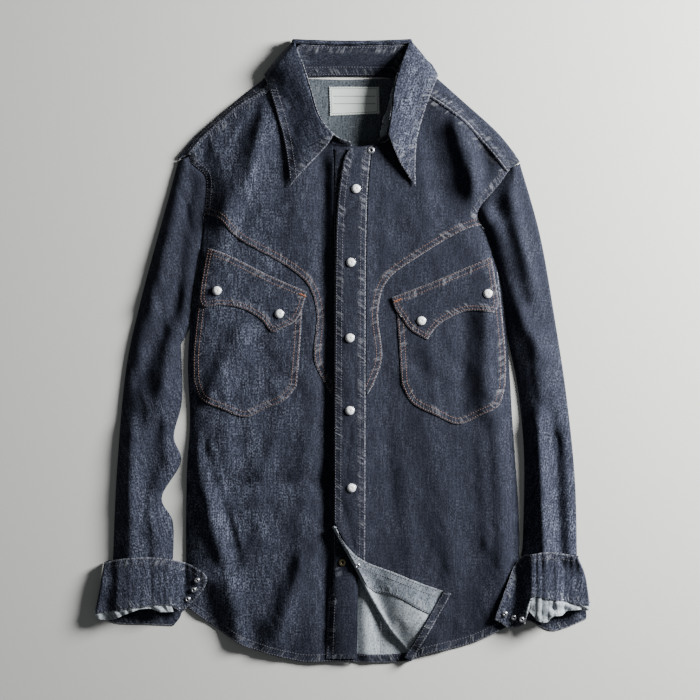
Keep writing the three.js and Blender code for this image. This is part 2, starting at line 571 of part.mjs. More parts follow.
// radius and height, from the axis at the bottom round to the top
const CAP_PROFILE = [
  [0, 0], [SNAP_CAP.radius, 0.2 * SNAP_CAP.rim], [0.93 * SNAP_CAP.radius, SNAP_CAP.rim],
  [0.6 * SNAP_CAP.radius, SNAP_CAP.height - 0.4], [0, SNAP_CAP.height]];
const RING_PROFILE = [
  [SNAP_RING.hole, 0], [SNAP_RING.radius, 0], [0.9 * SNAP_RING.radius, SNAP_RING.height],
  [SNAP_RING.hole, SNAP_RING.inside], [SNAP_RING.hole, 0]];
const ringOf = (size) => RING_PROFILE.map(([radius, height]) => [size * radius, height]);

const placketTop = above(frontUnder, (x) => lap(x) + LAYER + CLOTH);
const PLACKET_CAPS = [[356, 190], [351, 263], [350, 338], [350, 410], [351.6, 486.7]];
PLACKET_CAPS.forEach((pixel, i) => {
  addFitting(`placket_snap_${i + 1}`, pixel, placketTop, CAP_PROFILE, PEARL);
});

const FLAP_CAPS = { right: [[218, 291], [280, 314]], left: [[421, 321], [487, 294]] };
for (const [side, pixels] of Object.entries(FLAP_CAPS)) {
  const flapTop = above(frontUnder, (x) => (side === 'left' ? lap(x) : 0) + 2 * LAYER + CLOTH);
  pixels.forEach((pixel, i) => {
    addFitting(`flap_snap_${side}_${i + 1}`, pixel, flapTop, CAP_PROFILE, PEARL);
  });
}

addFitting('neck_snap', [371, 151.5], placketTop, RING_PROFILE, NICKEL);
addFitting('under_placket_stud', [342.5, 561], rightAt(1 + CLOTH / LAYER), RING_PROFILE, BRASS);
addFitting('corner_socket', [357, 564], cornerTop, ringOf(CORNER_SOCKET_SIZE), NICKEL);

const CUFF_RINGS = {
  right: [[198, 579], [194.5, 588.5], [188.5, 598]],
  left: [[504, 612], [513, 616], [520.5, 617]],
};
for (const [side, pixels] of Object.entries(CUFF_RINGS)) {
  pixels.forEach((pixel, i) => {
    addFitting(`cuff_snap_${side}_${i + 1}`, pixel, cuffTops[side], ringOf(CUFF_RING_SIZE), NICKEL, 8);
  });
}

export default shirt;
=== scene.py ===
# %% [markdown]
# # A western shirt of dark denim, laid flat
# The shirt lies on its back, buttoned by snaps down to the lowest one, with its cuffs turned up once and
# one front corner folded back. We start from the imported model, which fixes where every piece lies, and
# then sew each piece again as real cloth: a surface worked out with numpy, given a thickness, a weave,
# topstitching and snaps. Right and left are the wearer's, so the shirt's right side lies towards -X.

import bpy
import numpy as np
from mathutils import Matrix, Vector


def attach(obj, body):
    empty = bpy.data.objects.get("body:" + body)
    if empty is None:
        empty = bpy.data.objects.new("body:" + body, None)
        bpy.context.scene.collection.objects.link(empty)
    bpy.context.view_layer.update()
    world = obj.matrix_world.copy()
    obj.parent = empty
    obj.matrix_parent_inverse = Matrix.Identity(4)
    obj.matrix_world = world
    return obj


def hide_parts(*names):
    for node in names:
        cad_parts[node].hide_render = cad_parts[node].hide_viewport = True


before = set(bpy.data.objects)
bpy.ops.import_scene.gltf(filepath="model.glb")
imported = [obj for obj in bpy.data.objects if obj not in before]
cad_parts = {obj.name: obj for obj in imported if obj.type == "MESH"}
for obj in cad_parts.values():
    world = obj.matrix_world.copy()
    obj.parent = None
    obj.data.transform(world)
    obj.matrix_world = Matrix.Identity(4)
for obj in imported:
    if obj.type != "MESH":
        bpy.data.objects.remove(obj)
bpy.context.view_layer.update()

# %% [markdown]
# ## Real sizes and the plan
# A flat garment is easiest to think of as a plan, seen from straight above, plus a height over each place
# of it. The plan comes from the photograph, where the shoulders, taken as 439 mm, span 343 pixels. One
# pixel is therefore 1.28 mm. Every seam is a short list of pixels with a smooth line through them.

# %% Sizes, and lines in plan
MM = 0.001
SHOULDER_WIDTH = 439 * MM
PIXEL = SHOULDER_WIDTH / 343
MIDDLE = np.array([343.0, 350.5])  # the pixel over the origin
CLOTH = 1.2 * MM  # one wall of denim
GAP = 0.3 * MM
LAYER = CLOTH + GAP  # what each layer of cloth adds to a stack


def at(pixels):
    """Plan place of pixels: x = (px - 343) p and y = (350.5 - py) p, with p the size of a pixel."""
    return (np.asarray(pixels, float) - MIDDLE) * (PIXEL, -PIXEL)


def along(line):
    """Length run to each point of a line: the running sum of its steps."""
    return np.concatenate([[0.0], np.cumsum(np.linalg.norm(np.diff(line, axis=0), axis=1))])


def at_share(line, shares):
    """Points of a line at given shares, 0 to 1, of its length."""
    run = along(line)
    return np.column_stack([np.interp(np.asarray(shares) * run[-1], run, axis) for axis in line.T])


def even(line, step):
    """The line again, with points at equal lengths of about one step."""
    return at_share(line, np.linspace(0, 1, max(3, round(along(line)[-1] / step) + 1)))


def straight(*pixels):
    """Straight lines between pixels."""
    return at(pixels)


def curve(*pixels):
    """Smooth line through pixels. Between points 1 and 2 of any four that follow each other it is
    (2 p1 + (p2 - p0) t + (2 p0 - 5 p1 + 4 p2 - p3) t^2 + (3 p1 - p0 - 3 p2 + p3) t^3) / 2."""
    p = at(pixels)
    p = np.vstack([p[:1], p, p[-1:]])
    p0, p1, p2, p3 = p[:-3], p[1:-2], p[2:-1], p[3:]
    t = np.linspace(0, 1, 20, endpoint=False)[:, None, None]
    fine = (
        2 * p1 + (p2 - p0) * t + (2 * p0 - 5 * p1 + 4 * p2 - p3) * t**2 + (3 * p1 - p0 - 3 * p2 + p3) * t**3
    ) / 2
    return even(np.vstack([fine.transpose(1, 0, 2).reshape(-1, 2), p[-1:]]), 2.5 * MM)


def chain(*lines):
    """Lines joined end to end, without the points that repeat."""
    line = np.vstack(lines)
    keep = np.append(True, np.linalg.norm(np.diff(line, axis=0), axis=1) > 1e-6)
    return line[keep]


def moved(line, distance):
    """The line shifted sideways, to its left for a positive distance."""
    step = np.gradient(line, axis=0)
    step = step / np.linalg.norm(step, axis=1)[:, None]
    return line + distance * np.column_stack([-step[:, 1], step[:, 0]])


def part_of(line, low, high):
    """The stretch of a line between two rows of pixels."""
    y = line[:, 1]
    return line[(y <= at([0, high])[1] + 1e-9) & (y >= at([0, low])[1] - 1e-9)]


# %% Seams and edges, from the collar down
shoulder_right = curve([190, 155], [205, 137], [222, 122], [240, 107], [262, 95], [299, 78])
shoulder_left = curve([398, 78], [432, 98], [460, 118], [480, 138], [508, 172])
fold_right = curve([178, 160], [182, 152], [200, 132], [240, 98], [264, 79])
fold_left = curve([438, 79], [465, 103], [495, 130], [512, 150], [520, 162])
neck_right = curve([299, 78], [301, 90], [305, 103], [318, 129], [332, 141], [360, 148])
neck_left = curve([350, 150], [372, 146], [386, 143], [394, 130], [397, 105], [398, 78])
armhole_right = curve([204, 214], [206, 180], [198, 170], [190, 163], [190, 155])
armhole_left = curve([508, 172], [501, 183], [479, 210], [482, 225])
side_right = curve(
    [187, 607], [186, 540], [187, 470], [190, 420], [188, 360], [193, 300], [201, 245], [204, 214]
)
side_left = curve([482, 225], [493, 255], [502, 290], [508, 350], [513, 430], [519, 520], [518, 600], [508, 626])
hem_right = curve([357, 661], [330, 661], [300, 661], [262, 651], [235, 640], [187, 607])
hem_left = curve([508, 626], [468, 644], [430, 653], [411, 660])
hem_centre = curve([411, 660], [385, 662], [357, 661])
placket_edge = curve([334.5, 524], [334, 494], [335, 300], [337, 215], [343, 165], [350, 150])
placket_seam = curve([372, 147], [369, 170], [366.5, 215], [365.5, 300], [365, 536], [364, 576])
centre_edge = curve([360, 148], [360, 300], [358, 560], [357, 661])
corner_fold = curve([334.5, 524], [360, 571], [370, 592], [390, 626], [408, 648], [411, 660])
turned_edge = curve([334.5, 524], [346, 543], [363, 558.6], [398, 572.6], [423.5, 583], [450.4, 592])
corner_hem = curve([411, 660], [431, 626], [450.4, 592])

# %% [markdown]
# ## The height of the cloth
# Cloth that lies on cloth follows it. So one function gives the height of the lowest layer of the fronts,
# and every yoke, pocket and placket is that height plus its own number of layers. The fronts stand off the
# back by 9 mm, come down to it at the side seams in a rounded roll, and carry folds: each fold is a bell
# across a line, h exp(-(across / half)^2), rounded off past its ends. The large folds are the ones in the
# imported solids. The small ones, which only show from close by, are added here.

# %% Folds and creases
# from x, y, to x, y in pixels, half width and rise in mm
LARGE_FOLDS = [
    (270, 125, 229, 212, 17, 7), (240, 335, 212, 392, 12, 5), (226, 436, 222, 484, 13, 5),
    (192, 446, 222, 548, 13, 9), (222, 470, 236, 560, 10, -4), (215, 486, 320, 481, 12, -4),
    (232, 588, 241, 652, 13, 6), (318, 548, 270, 640, 15, 7), (205, 590, 214, 622, 12, -4),
    (322, 165, 325, 640, 10, -4), (350, 160, 349, 640, 22, 2.5), (457, 132, 480, 216, 11, 10),
    (482, 146, 494, 204, 15, -7), (424, 118, 446, 204, 20, -4), (488, 228, 503, 330, 14, 6),
    (464, 322, 462, 406, 12, -4), (486, 318, 484, 408, 11, 5), (500, 400, 507, 560, 17, 6),
    (430, 440, 455, 560, 20, 3), (470, 560, 462, 640, 20, -4), (172, 180, 150, 300, 11, 6),
    (176, 300, 142, 378, 13, -5), (178, 350, 158, 404, 13, 7), (158, 432, 146, 500, 15, -5),
    (128, 430, 134, 552, 12, 6), (526, 190, 556, 320, 13, -6), (510, 200, 530, 290, 10, 5),
    (502, 284, 534, 344, 11, 6), (538, 360, 541, 410, 18, 6), (550, 412, 556, 448, 10, -4),
    (534, 428, 543, 552, 10, 12),
]
SMALL_CREASES = [
    (356, 203, 343, 218, 3, -1.2), (343, 505, 353, 545, 4, -1.2), (519, 385, 523, 410, 4, -1.8),
    (306, 440, 300, 560, 9, 1.5), (252, 430, 262, 540, 10, 1.6), (284, 590, 280, 655, 8, 1.8),
    (404, 470, 414, 600, 9, 1.5), (452, 600, 448, 640, 8, -1.5), (388, 430, 392, 520, 8, -1.3),
    (206, 440, 200, 520, 6, -1.8), (480, 440, 486, 540, 8, 1.6), (300, 150, 296, 230, 12, 1.6),
    (250, 190, 238, 240, 7, -1.6), (420, 150, 428, 235, 8, 1.4), (386, 190, 384, 270, 8, 1.3),
    (222, 350, 226, 405, 8, 1.4), (262, 345, 268, 410, 9, -1.2), (430, 350, 436, 410, 8, 1.3),
    (150, 250, 164, 330, 6, -1.8), (134, 330, 150, 420, 7, 1.8), (165, 420, 172, 480, 5, 1.8),
    (118, 480, 122, 550, 6, 1.6), (150, 500, 158, 552, 6, 1.8), (562, 430, 566, 545, 6, -2.2),
    (529, 470, 531, 545, 5, -2.2), (526, 340, 534, 400, 6, -1.6), (548, 320, 556, 392, 6, 1.8),
    (515, 230, 536, 290, 6, 1.6), (180, 190, 196, 240, 5, -1.6), (236, 130, 222, 160, 6, 1.4),
    (470, 150, 474, 200, 5, 1.2), (340, 250, 345, 330, 6, 0.7), (353, 362, 356, 400, 3, -0.9),
    (350, 425, 346, 475, 3, -0.9), (555, 440, 560, 550, 9, -8),
    (263, 120, 246, 200, 7, 3), (245, 345, 226, 392, 7, 2), (327, 170, 328, 640, 6, -2),
    (203, 150, 200, 270, 12, -6), (190, 178, 178, 310, 12, -6),
    (467, 130, 476, 205, 6, 2.5), (275, 440, 265, 470, 8, 2),
    (300, 560, 286, 620, 7, 2.5), (210, 440, 240, 540, 6, 2), (440, 560, 436, 620, 9, -2),
    (378, 590, 404, 650, 16, -5.5), (364, 574, 384, 616, 11, -3.5),
]


def ease(value):
    """0 up to 0 and 1 from 1, smooth between: t^2 (3 - 2 t)."""
    t = np.clip(value, 0, 1)
    return t * t * (3 - 2 * t)


def nearest(line, x, y):
    """Distance from each place to a line, and the length along the line of the nearest point."""
    run = along(line)
    best, place = np.full(x.shape, np.inf), np.zeros(x.shape)
    for a, b, start in zip(line[:-1], line[1:], run[:-1]):
        step = b - a
        length = max(np.hypot(*step), 1e-9)
        t = np.clip(((x - a[0]) * step[0] + (y - a[1]) * step[1]) / length**2, 0, 1)
        distance = np.hypot(a[0] + step[0] * t - x, a[1] + step[1] * t - y)
        place = np.where(distance < best, start + length * t, place)
        best = np.minimum(distance, best)
    return best, place


def folds(table, x, y):
    """Sum of the folds of a table: rise exp(-(across / half)^2 - (past / 1.5 half)^2)."""
    total = np.zeros(x.shape)
    for x0, y0, x1, y1, half, rise in table:
        (ax, ay), (bx, by) = at([x0, y0]), at([x1, y1])
        length, wide = np.hypot(bx - ax, by - ay), half * MM
        run = ((x - ax) * (bx - ax) + (y - ay) * (by - ay)) / length
        across = ((x - ax) * (by - ay) - (y - ay) * (bx - ax)) / length
        past = np.maximum(0, np.maximum(-run, run - length))
        total = total + rise * MM * np.exp(-((across / wide) ** 2) - (past / (1.5 * wide)) ** 2)
    return total


def unevenness(x, y, size, depth, seed):
    """Cloth is never quite flat: the mean of sine waves about `size` long, bent by slower ones."""
    rng = np.random.default_rng(seed)
    bend_x = x + 0.4 * size * np.sin(y / size * 1.7 + 1)
    bend_y = y + 0.4 * size * np.sin(x / size * 1.3 + 2)
    total = np.zeros(x.shape)
    for turn, phase, scale in zip(rng.uniform(0, np.pi, 9), rng.uniform(0, 6.28, 9), rng.uniform(0.7, 1.5, 9)):
        total = total + np.sin((bend_x * np.cos(turn) + 0.5 * bend_y * np.sin(turn)) * 6.28 / (size * scale) + phase)
    return depth * total / 3


def mapped(surface, low, high, step=1.5 * MM):
    """A surface looked up from a fine grid of its heights, by straight lines between them."""
    xs, ys = np.arange(low[0], high[0] + step, step), np.arange(low[1], high[1] + step, step)
    heights = surface(*np.meshgrid(xs, ys))

    def look_up(x, y):
        i = np.clip((x - xs[0]) / step, 0, len(xs) - 1.001)
        j = np.clip((y - ys[0]) / step, 0, len(ys) - 1.001)
        i0, j0 = i.astype(int), j.astype(int)
        u, v = i - i0, j - j0
        lower = heights[j0, i0] * (1 - u) + heights[j0, i0 + 1] * u
        upper = heights[j0 + 1, i0] * (1 - u) + heights[j0 + 1, i0 + 1] * u
        return lower * (1 - v) + upper * v

    return look_up


def steepness(base, x, y, reach=3 * MM):
    """How much more than its thickness a wall measures straight up: (1 + slope^2)^0.5, at most 1.8."""
    slope_x = (base(x + reach, y) - base(x - reach, y)) / (2 * reach)
    slope_y = (base(x, y + reach) - base(x, y - reach)) / (2 * reach)
    return np.minimum(1.8, np.sqrt(1 + slope_x**2 + slope_y**2))


def inside_of(outline, x, y):
    """Whether each place lies inside a closed outline, by counting the sides it crosses."""
    within = np.zeros(x.shape, bool)
    for a, b in zip(outline, np.roll(outline, -1, axis=0)):
        if a[1] != b[1]:
            side = x < a[0] + (b[0] - a[0]) * (y - a[1]) / (b[1] - a[1])
            within ^= ((a[1] > y) != (b[1] > y)) & side
    return within


def lofted(closed, loft, roll, open_edge=None, outline=None):
    """Underside of a wall: down at its closed edges, up to its loft over the roll, plus the folds."""

    def surface(x, y):
        edge = np.minimum.reduce([nearest(line[::3], x, y)[0] for line in closed])
        rounded = 1 - (1 - np.clip(edge / roll, 0, 1)) ** 2
        shape = loft * rounded
        if open_edge is not None:
            shape = shape * (0.3 + 0.7 * ease(nearest(open_edge[::3], x, y)[0] / (50 * MM)))
        uneven = unevenness(x, y, 46 * MM, 0.55 * MM, 3) + unevenness(x, y, 15 * MM, 0.16 * MM, 5)
        shape = shape + (folds(LARGE_FOLDS, x, y) + folds(SMALL_CREASES, x, y) + uneven) * ease(edge / roll)
        if outline is not None:
            shape = np.where(inside_of(outline, x, y), shape, 0)
        return LAYER + np.maximum(0, shape)

    return surface


body_edges = [chain(side_right, armhole_right, fold_right), chain(fold_left, armhole_left, side_left)]
hem_line = chain(hem_left, hem_centre, hem_right)
body_under = mapped(lofted(body_edges, 9 * MM, 30 * MM, hem_line), at([170, 680]), at([540, 30]))
LAP = at([[361, 0], [388, 0]])[:, 0]


def lap(x):
    """The left front lies over the right one: two layers, eased off beyond the placket."""
    return 2 * LAYER * (1 - ease((x - LAP[0]) / (LAP[1] - LAP[0])))


def on_right(level):
    """Top of the cloth on the right front: its lowest wall is level CLOTH, each more adds a LAYER."""
    return lambda x, y: body_under(x, y) + steepness(body_under, x, y) * level


def on_left(level):
    """The same on the left front, which laps over the right one."""
    return lambda x, y: body_under(x, y) + steepness(body_under, x, y) * (level + lap(x))


chest = at([[300, 200], [430, 500]])
print("height of the fronts at two places, mm:", np.round(body_under(chest[:, 0], chest[:, 1]) / MM, 1))

# %% [markdown]
# ## Denim and the other finishes
# Raw denim is a twill: indigo warp threads cover the outside and undyed weft threads the inside. So the
# outside is navy with pale specks, streaked along the warp where a thread is thicker, and the inside is a
# pale blue grey. Along every topstitched seam the layers pucker in the wash, and the tops of the puckers
# lose their dye. Each piece carries two UV maps in metres: "grain", its place along the warp, and "seam",
# how far along the nearest seam a point lies, and how far from it. The first draws the weave, and the
# second the puckers and the pale line on each edge.

# %% Colours, and a helper that adds a node
def linear(code):
    """sRGB hex to linear colour: ((c + 0.055) / 1.055)^2.4, or c / 12.92 where c is under 0.04045."""
    c = np.array([int(code[i : i + 2], 16) / 255 for i in (1, 3, 5)])
    return (*np.where(c > 0.04045, ((c + 0.055) / 1.055) ** 2.4, c / 12.92), 1.0)


def add(tree, kind, settings=(), inputs=()):
    """Adds a node with its settings, and gives each input a value or a link."""
    node = tree.nodes.new("ShaderNode" + kind)
    for name, value in dict(settings).items():
        setattr(node, name, value)
    for name, value in dict(inputs).items():
        if isinstance(value, bpy.types.NodeSocket):
            tree.links.new(value, node.inputs[name])
        else:
            node.inputs[name].default_value = value
    return node


def finish(name, **surface):
    """A material with one Principled shader, whose plain values are given by the names of its inputs."""
    material = bpy.data.materials.new(name)
    material.use_nodes = True
    shader = material.node_tree.nodes["Principled BSDF"]
    for key, value in surface.items():
        shader.inputs[key.replace("_", " ")].default_value = value
    return material, material.node_tree, shader


# %% Denim, woven twice: its outside and its inside
THREAD = 1.5 * MM  # a real warp thread is 0.5 mm, drawn coarser so that the weave shows
PUCKER = 4.4 * MM  # from one pucker to the next along a topstitched seam
TOPSTITCHED = 8 * MM  # width of a seam between its edge and its second row of stitches


def denim(name, deep, dyed, thread, worn, speckle, axis="X", place=(-0.14, 0.0), pale_by=(1.45, 0.6), dark=0.42):
    """Twill of a deep shade between threads, a dyed warp, pale weft specks, and a worn shade. Between two
    places on an axis its pale specks go from one strength to another and it darkens by a share."""
    material, tree, shader = finish(name, Roughness=0.88, Specular_IOR_Level=0.18)
    grain = add(tree, "UVMap", {"uv_map": "grain"}).outputs[0]
    seam = add(tree, "SeparateXYZ", inputs={0: add(tree, "UVMap", {"uv_map": "seam"}).outputs[0]})

    def noise(vector, size, detail=2.0):
        stretched = add(tree, "Mapping", inputs={"Vector": vector, "Scale": size})
        settings = {"Vector": stretched.outputs[0], "Scale": 1.0, "Detail": detail}
        return add(tree, "TexNoise", inputs=settings).outputs[0]

    def ranged(value, low, high, to_low=0.0, to_high=1.0):
        limits = {"Value": value, "From Min": low, "From Max": high, "To Min": to_low, "To Max": to_high}
        return add(tree, "MapRange", {"interpolation_type": "SMOOTHSTEP"}, limits).outputs[0]

    def sums(operation, a, b):
        return add(tree, "Math", {"operation": operation}, {0: a, 1: b}).outputs[0]

    def mixed(share, a, b):
        return add(tree, "Mix", {"data_type": "RGBA"}, {0: share, 6: a, 7: b}).outputs[2]

    specks = noise(grain, (1 / THREAD, 0.6 / THREAD, 1), 3.0)
    warp = noise(grain, (0.6 / THREAD, 1 / (17 * MM), 1))
    weft = noise(grain, (1 / (14 * MM), 0.8 / THREAD, 1))
    faded = noise(grain, (1 / (22 * MM), 1 / (34 * MM), 1), 4.0)
    streaks = sums("ADD", sums("MULTIPLY", warp, 0.3), sums("MULTIPLY", weft, 0.08))
    weave = sums("ADD", sums("MULTIPLY", specks, 0.62), streaks)
    pale = sums("MULTIPLY", ranged(weave, 0.46, 0.66), ranged(faded, 0.36, 0.66, 0.35 * speckle, speckle))
    colour = mixed(ranged(weave, 0.36, 0.54), linear(deep), linear(dyed))
    where = add(tree, "SeparateXYZ", inputs={0: add(tree, "TexCoord").outputs["Object"]}).outputs[axis]
    pale = sums("MULTIPLY", pale, ranged(where, *place, *pale_by))
    colour = mixed(pale, colour, linear(thread))
    colour = mixed(ranged(where, *place, 0.0, dark), colour, linear(deep))

    # puckers lean across the seam, so both coordinates go into the noise
    run, off = seam.outputs[0], seam.outputs[1]
    lean = add(tree, "CombineXYZ", inputs={
        0: sums("MULTIPLY", sums("ADD", run, sums("MULTIPLY", off, 0.5)), 1 / PUCKER),
        1: sums("MULTIPLY", off, 1 / (18 * MM)),
    }).outputs[0]
    puckers = noise(lean, (1, 1, 1), 1.0)
    here_and_there = ranged(noise(lean, (0.13, 0.2, 1)), 0.38, 0.62, 0.25, 1.0)
    band = sums("MULTIPLY", ranged(off, 0.8 * MM, 2.6 * MM), ranged(off, TOPSTITCHED, 12 * MM, 1.0, 0.0))
    ridges = sums("MULTIPLY", ranged(puckers, 0.45, 0.72), sums("MULTIPLY", band, here_and_there))
    edge = sums("MULTIPLY", ranged(off, 0.3 * MM, 1.3 * MM, 1.0, 0.0), ranged(specks, 0.35, 0.6))
    wear = sums("MAXIMUM", sums("MULTIPLY", ridges, 0.36), sums("MULTIPLY", edge, 0.5))
    colour = mixed(sums("MULTIPLY", wear, ranged(specks, 0.3, 0.6, 0.35, 1.0)), colour, linear(worn))
    tree.links.new(colour, shader.inputs["Base Color"])

    height = sums("ADD", sums("MULTIPLY", weave, 0.25 * MM), sums("MULTIPLY", ridges, 0.8 * MM))
    bump = add(tree, "Bump", inputs={"Height": height, "Distance": 1.0, "Strength": 0.8})
    tree.links.new(bump.outputs[0], shader.inputs["Normal"])
    return material


OUTSIDE = ("#14161f", "#272b39", "#7d8394", "#a6a8ae", 0.5)
EVEN = {"pale_by": (1.0, 1.0), "dark": 0.0}
outside = denim("denim_outside", *OUTSIDE)
sleeve_outside = denim("denim_sleeves", *OUTSIDE, axis="Y", place=(-0.28, 0.1), pale_by=(1.3, 0.6), dark=0.4)
# the collar's pale specks rise from 0.7 to 1.5 times towards +X: painted light, the wing at +X paler as if lit from the
# window and the wing at -X darker as if in shade
collar_with_painted_light = denim("denim_collar_painted_light", *OUTSIDE, axis="X", place=(-0.08, 0.06), pale_by=(0.7, 1.5), dark=0.0)
inside = denim("denim_inside", "#6c747d", "#9ba3aa", "#d4d9da", "#d6d8d6", 0.6, **EVEN)
facing_inside = denim("denim_facing", "#434951", "#727a83", "#a8aeb3", "#b0b4b7", 0.6, **EVEN)
# the inside of the back yoke, which shows down in the neck, is a darker copy of the inside finish: painted shade,
# standing in for the shade the collar casts there
neck_inside_painted_shade = denim("denim_inside_painted_shade", "#2c3136", "#50575e", "#82888b", "#8f9496", 0.5, **EVEN)
print("woven:", outside.name, sleeve_outside.name, inside.name, facing_inside.name, neck_inside_painted_shade.name)

# %% [markdown]
# ## Cutting a piece of cloth
# A pattern piece has four sides. Its surface is the blend of them that draughtsmen call a Coons patch:
# the sum of the two ruled surfaces between opposite sides, less the one through the four corners. Its
# points are a few tenths of a millimetre apart at the edges, where cloth rolls over, and 2.2 mm elsewhere.
# Each point then takes its height from the function above, and Solidify gives the wall.

# %% Patches and sheets
def spaced(length, step):
    """Shares of a length: close together in the first and last 3 mm, one step apart between."""
    near = np.array([0, 0.5, 1.2, 2.1, 3.2]) * MM * min(1, length / (12 * MM))
    middle = np.linspace(near[-1], length - near[-1], max(2, round(length / step)))
    return np.concatenate([near[:-1], middle, length - near[-2::-1]]) / length


def patch(bottom, top, left, right, step=2.2 * MM, pairs=((0, 0), (1, 1))):
    """Plan of a four-sided piece: (1-v) B(u) + v T(u) + (1-u) L(v) + u R(v) - the corners' blend.
    Bottom and top run from left to right, left and right run upwards. Pairs say which share of the top's
    length stands over which share of the bottom's."""
    u = spaced(max(along(bottom)[-1], along(top)[-1]), step)
    v = spaced(max(along(left)[-1], along(right)[-1]), step)
    b, t = at_share(bottom, u)[None], at_share(top, np.interp(u, *np.transpose(pairs)))[None]
    l, r = at_share(left, v)[:, None], at_share(right, v)[:, None]
    u, v = u[None, :, None], v[:, None, None]
    low, high = (1 - u) * bottom[0] + u * bottom[-1], (1 - u) * top[0] + u * top[-1]
    return (1 - v) * b + v * t + (1 - u) * l + u * r - (1 - v) * low - v * high


def ruled(left, right, step=2.2 * MM):
    """Plan between two lines that both climb: each row is level and goes straight from one to the other."""
    y = left[0, 1] + spaced(left[-1, 1] - left[0, 1], step) * (left[-1, 1] - left[0, 1])
    from_x, to_x = (np.interp(y, line[:, 1], line[:, 0])[:, None] for line in (left, right))
    x = from_x + (to_x - from_x) * spaced((to_x - from_x).max(), step)[None]
    return np.stack([x, y[:, None] + 0 * x], -1)


def measured(plan, height, grain=0.0, seams=()):
    """A grid of seven numbers a point: its place, its place along the grain, turned by some degrees, and
    how far along the nearest seam it lies and how far from it."""
    x, y = plan[..., 0], plan[..., 1]
    turn = np.radians(grain)
    grain_x, grain_y = x * np.cos(turn) + y * np.sin(turn), y * np.cos(turn) - x * np.sin(turn)
    place, distance = np.zeros(x.shape), np.full(x.shape, 30 * MM)
    for number, line in enumerate(seams):
        away, run = nearest(line[::2] if len(line) > 8 else line, x, y)
        place = np.where(away < distance, run + number, place)
        distance = np.minimum(distance, away)
    return np.stack([x, y, height, grain_x, grain_y, place, distance], -1)


def woven_mesh(name, grids, closed=False):
    """One mesh from grids of points. A closed grid's last column joins its first."""
    points, faces, start = [], [], 0
    for grid in grids:
        rows, columns = grid.shape[:2]
        j = np.arange(rows - 1)[:, None] * columns + start
        i = np.arange(columns if closed else columns - 1)[None]
        k = (i + 1) % columns
        faces.append(np.stack([j + i, j + k, j + columns + k, j + columns + i], -1).reshape(-1, 4))
        points.append(grid.reshape(-1, 7))
        start += rows * columns
    points, faces = np.vstack(points), np.vstack(faces)
    key = np.round(points[:, :3] / (0.02 * MM)).astype(np.int64)
    _, first, merged = np.unique(key, axis=0, return_index=True, return_inverse=True)
    mesh = bpy.data.meshes.new(name)
    mesh.from_pydata(points[first, :3].tolist(), [], merged.reshape(-1)[faces].tolist())
    for layer, column in (("grain", 3), ("seam", 5)):
        uv = mesh.uv_layers.new(name=layer)
        uv.data.foreach_set("uv", points[faces.reshape(-1), column : column + 2].ravel())
    mesh.validate()
    mesh.shade_smooth()
    return mesh


def area_of(grid):
    """Area of a grid: half the cross product of each cell's diagonals, added up."""
    p = grid[..., :3]
    one, two = p[1:, 1:] - p[:-1, :-1], p[1:, :-1] - p[:-1, 1:]
    return np.linalg.norm(np.cross(one, two), axis=-1).sum() / 2


def piece(name, grids, nodes, finishes=None, wall=CLOTH, closed=False):
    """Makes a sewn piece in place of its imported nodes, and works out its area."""
    name = f"sewn_{name}"
    obj = bpy.data.objects.new(name, woven_mesh(name, grids, closed))
    bpy.context.scene.collection.objects.link(obj)
    for material in finishes or (outside, inside):
        obj.data.materials.append(material)
    solid = obj.modifiers.new("wall", "SOLIDIFY")
    solid.thickness, solid.offset, solid.material_offset = wall, -1, 1
    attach(obj, "root")
    if nodes:
        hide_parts(*nodes)
    area = sum(area_of(grid) for grid in grids) + (area_of(grids[0][:, [-1, 0]]) if closed else 0)
    return obj


def rolled(distance, radius):
    """Share of the height near a closed edge: a quarter circle, (1 - (1 - d / r)^2)^0.5."""
    return np.sqrt(1 - (1 - np.clip(distance / radius, 0, 1)) ** 2)


def eased_edge(distance, drop=0.45 * MM, width=1.4 * MM):
    """How far a turned edge of cloth comes down within its last millimetre."""
    return -drop * (1 - np.clip(distance / width, 0, 1)) ** 2


def laid(plan, top, seams, grain=0.0, closed=(), edges=None):
    """A piece on the shirt: its top follows the stack of cloth, rolls over at its closed edges and eases
    down at its stitched ones."""
    x, y = plan[..., 0], plan[..., 1]
    height = top(x, y)
    for line in closed:
        height = height * rolled(nearest(line[::2], x, y)[0], 2.8 * MM)
    points = measured(plan, height, grain, seams)
    points[..., 2] += eased_edge(points[..., 6])
    return points


# %% [markdown]
# ## Back and fronts
# The back lies flat with its inside up, and shows at the neck and under the open front corner. The two
# fronts lie on it. Their side edges roll down to the table, where they meet the back in the side seams,
# and the hem is turned twice and stitched all round.

# %% The back panel
side_right_low, side_left_low = part_of(side_right, 620, 252), part_of(side_left, 640, 264)
ROLL_ROOM = 3.4 * MM  # the flat back stays this far inside the rolled edges
yoke_seam = straight([203.5, 251.5], [343, 263.5], [492, 263.5])
back_left = moved(side_right_low, -ROLL_ROOM)
back_right = moved(side_left_low, -ROLL_ROOM)[::-1]
hem_inside = chain(back_left[:1], hem_line[::-1][4:-4], back_right[:1])
back_plan = patch(
    hem_inside, chain(back_left[-1:], yoke_seam[1:2], back_right[-1:]), back_left, back_right, 4 * MM
)[:, ::-1]


def back_top(x, y):
    """The back lies flat, but for a swell where the open corner lets it rise."""
    return 0.1 * MM + folds([(364, 584, 367, 650, 10, 5.5)], x, y)


